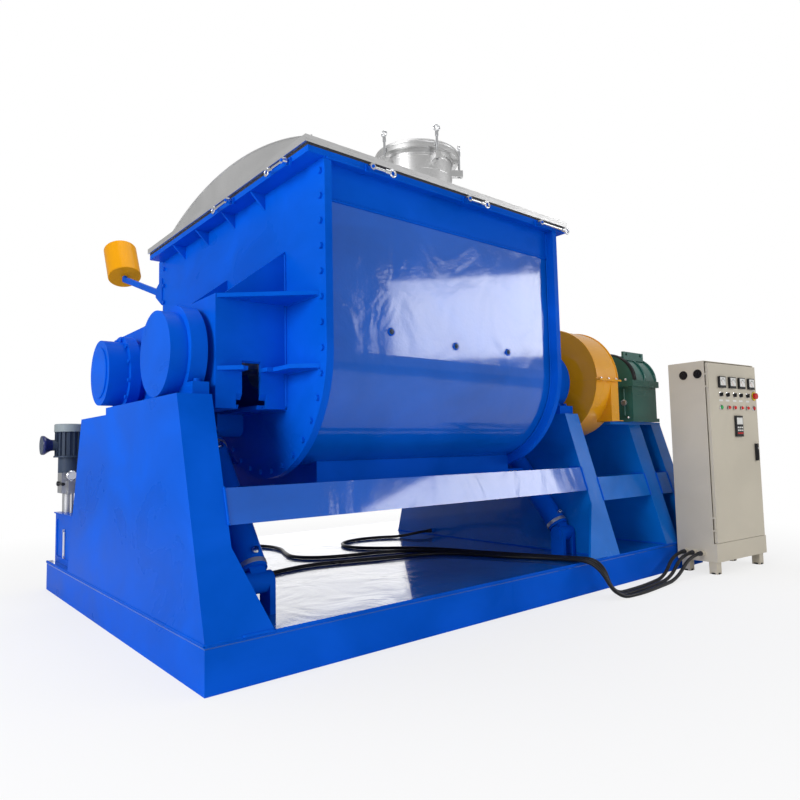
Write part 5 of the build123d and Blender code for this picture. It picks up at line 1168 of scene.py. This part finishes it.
@dataclass
class Stage:
    """Floor, world, lamps and camera.

    Attributes:
        eye: Camera position.
        focal: Focal length in pixels.
        yaw: Heading from +Y towards +X in degrees.
        pitch: Upward tilt in degrees.
        roll: Roll in degrees.
        sensor: Sensor width in millimetres.
        frame_pixels: Width of the frame that the focal length is for.
        half_floor: Half the side of the floor.
        glow_from: Distance from the origin at which the floor starts to turn white to the camera.
        glow_to: Distance at which it is white.
        glow_low: Share of white that the camera sees up to the first distance.
        ambient: Strength of the world as light.
        glossy: Share of white that a reflection sees.
    """

    eye: tuple[float, float, float] = (-3.1746, -3.961, 0.9663)
    focal: float = 645.96
    yaw: float = 39.819
    pitch: float = 4.362
    roll: float = -1.238
    sensor: float = 36.0
    frame_pixels: float = 800.0
    half_floor: float = 60.0
    glow_from: float = 2.2
    glow_to: float = 5.5
    glow_low: float = 0.72
    ambient: float = 0.30
    glossy: float = 0.25

    def camera(self) -> None:
        """Create the camera at the photograph's viewing angle."""
        yaw, pitch, roll = (math.radians(a) for a in (self.yaw, self.pitch, self.roll))
        ahead = Vector((math.sin(yaw) * math.cos(pitch), math.cos(yaw) * math.cos(pitch), math.sin(pitch)))
        right = Vector((math.cos(yaw), -math.sin(yaw), 0.0))
        up = right.cross(ahead)
        right_2 = math.cos(roll) * right + math.sin(roll) * up
        up_2 = -math.sin(roll) * right + math.cos(roll) * up
        data = bpy.data.cameras.new("camera")
        data.sensor_width = self.sensor
        data.lens = self.sensor * self.focal / self.frame_pixels
        data.clip_end = 200.0
        made = bpy.data.objects.new("camera", data)
        bpy.context.scene.collection.objects.link(made)
        turn = Matrix((right_2, up_2, -ahead)).transposed().to_4x4()
        made.matrix_world = Matrix.Translation(self.eye) @ turn
        bpy.context.scene.camera = made

    def floor(self) -> None:
        """Create the pale floor."""
        material = bpy.data.materials.new("stage_floor")
        material.use_nodes = True
        tree = material.node_tree
        shader = tree.nodes["Principled BSDF"]
        shader.inputs["Base Color"].default_value = (0.93, 0.93, 0.93, 1.0)
        shader.inputs["Roughness"].default_value = 0.75
        shader.inputs["Specular IOR Level"].default_value = 0.2
        mesh = bpy.data.meshes.new("stage_floor")
        size = self.half_floor
        mesh.from_pydata([(-size, -size, 0), (size, -size, 0), (size, size, 0), (-size, size, 0)], [],
                         [(0, 1, 2, 3)])
        mesh.materials.append(material)
        made = bpy.data.objects.new("stage_floor", mesh)
        bpy.context.scene.collection.objects.link(made)
        glow = tree.nodes.new("ShaderNodeEmission")
        glow.inputs["Color"].default_value = (1.0, 1.0, 1.0, 1.0)
        path = tree.nodes.new("ShaderNodeLightPath")
        mix = tree.nodes.new("ShaderNodeMixShader")
        factor = tree.nodes.new("ShaderNodeMath")
        factor.operation = "MULTIPLY"
        coords = tree.nodes.new("ShaderNodeTexCoord")
        away = tree.nodes.new("ShaderNodeVectorMath")
        away.operation = "LENGTH"
        fade = tree.nodes.new("ShaderNodeMapRange")
        fade.interpolation_type = "SMOOTHSTEP"
        fade.inputs["From Min"].default_value = self.glow_from
        fade.inputs["From Max"].default_value = self.glow_to
        fade.inputs["To Min"].default_value = self.glow_low
        tree.links.new(coords.outputs["Object"], away.inputs[0])
        tree.links.new(away.outputs["Value"], fade.inputs["Value"])
        tree.links.new(fade.outputs["Result"], factor.inputs[1])
        tree.links.new(path.outputs["Is Camera Ray"], factor.inputs[0])
        tree.links.new(factor.outputs[0], mix.inputs[0])
        tree.links.new(shader.outputs[0], mix.inputs[1])
        tree.links.new(glow.outputs[0], mix.inputs[2])
        glow.inputs["Strength"].default_value = 1.0
        tree.links.new(mix.outputs[0], tree.nodes["Material Output"].inputs["Surface"])

    def world(self) -> None:
        """White to the camera and to reflections, softer as light."""
        world = bpy.data.worlds.new("studio")
        bpy.context.scene.world = world
        world.use_nodes = True
        tree = world.node_tree
        back = tree.nodes["Background"]
        back.inputs["Color"].default_value = (1.0, 1.0, 1.0, 1.0)
        path = tree.nodes.new("ShaderNodeLightPath")
        seen = tree.nodes.new("ShaderNodeMath")
        seen.operation = "MAXIMUM"
        tree.links.new(path.outputs["Is Camera Ray"], seen.inputs[0])
        half = tree.nodes.new("ShaderNodeMath")
        half.operation = "MULTIPLY"
        half.inputs[1].default_value = self.glossy
        tree.links.new(path.outputs["Is Glossy Ray"], half.inputs[0])
        tree.links.new(half.outputs[0], seen.inputs[1])
        strength = tree.nodes.new("ShaderNodeMapRange")
        strength.inputs["To Min"].default_value = self.ambient
        strength.inputs["To Max"].default_value = 1.0
        tree.links.new(seen.outputs[0], strength.inputs["Value"])
        tree.links.new(strength.outputs["Result"], back.inputs["Strength"])

    def lamp(self, name: str, place: Point, target: Point, size: tuple[float, float], power: float) -> None:
        """Create one area lamp.

        Args:
            name: Lamp name.
            place: Its position.
            target: The point that it faces.
            size: Width and height.
            power: Power in watts.
        """
        data = bpy.data.lights.new(name, "AREA")
        data.shape = "RECTANGLE"
        data.size, data.size_y = size
        data.energy = power
        made = bpy.data.objects.new(name, data)
        bpy.context.scene.collection.objects.link(made)
        way = Vector(target) - Vector(place)
        made.matrix_world = Matrix.Translation(place) @ way.to_track_quat("-Z", "Y").to_matrix().to_4x4()

    def build(self) -> None:
        """Create everything of the stage."""
        self.camera()
        self.floor()
        self.world()
        self.lamp("key_left", (-8.0, -2.0, 3.2), (-1.5, -0.3, 1.2), (3.5, 3.0), 330.0)
        self.lamp("front_window", (5.6, -6.8, 3.35), (-0.3, -1.4, 1.72), (3.6, 1.5), 120.0)
        self.lamp("front_left", (-1.5, -8.5, 1.2), (-0.5, -1.4, 1.2), (4.0, 2.0), 70.0)
        self.lamp("rear_panel", (2.2, 6.5, 1.9), (-1.0, -0.5, 0.4), (6.5, 3.4), 85.0)
        self.lamp("top", (0.0, 0.0, 6.5), (0.0, 0.0, 0.0), (6.0, 4.0), 180.0)


def studio() -> None:
    """Set plain colour management."""
    bpy.context.scene.view_settings.view_transform = "Standard"


def corners(box: Iterable[Iterable[float]]) -> list[list[float]]:
    """Plain lists of a box's corners.

    Args:
        box: Lowest and highest corner.

    Returns:
        The same as lists of floats.
    """
    return [[float(value) for value in corner] for corner in box]


def main() -> None:
    """Build the dressed machine and its stage."""
    logging.basicConfig(level=logging.INFO, format="%(name)s %(message)s")
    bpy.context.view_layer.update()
    studio()
    Stage().build()
    Cables().build()
    PaintShop().dress()
    for assembly in (BearingDress(), WeldSeams(), JacketDress(), LidDress(), ManholeDress(), GuardDress(),
                     ReducerDress(), HydraulicDress(), CylinderDress(), CabinetDress(), MotorDress(),
                     Reliefs(), WeightDress()):
        assembly.build()


if __name__ == "__main__":
    main()
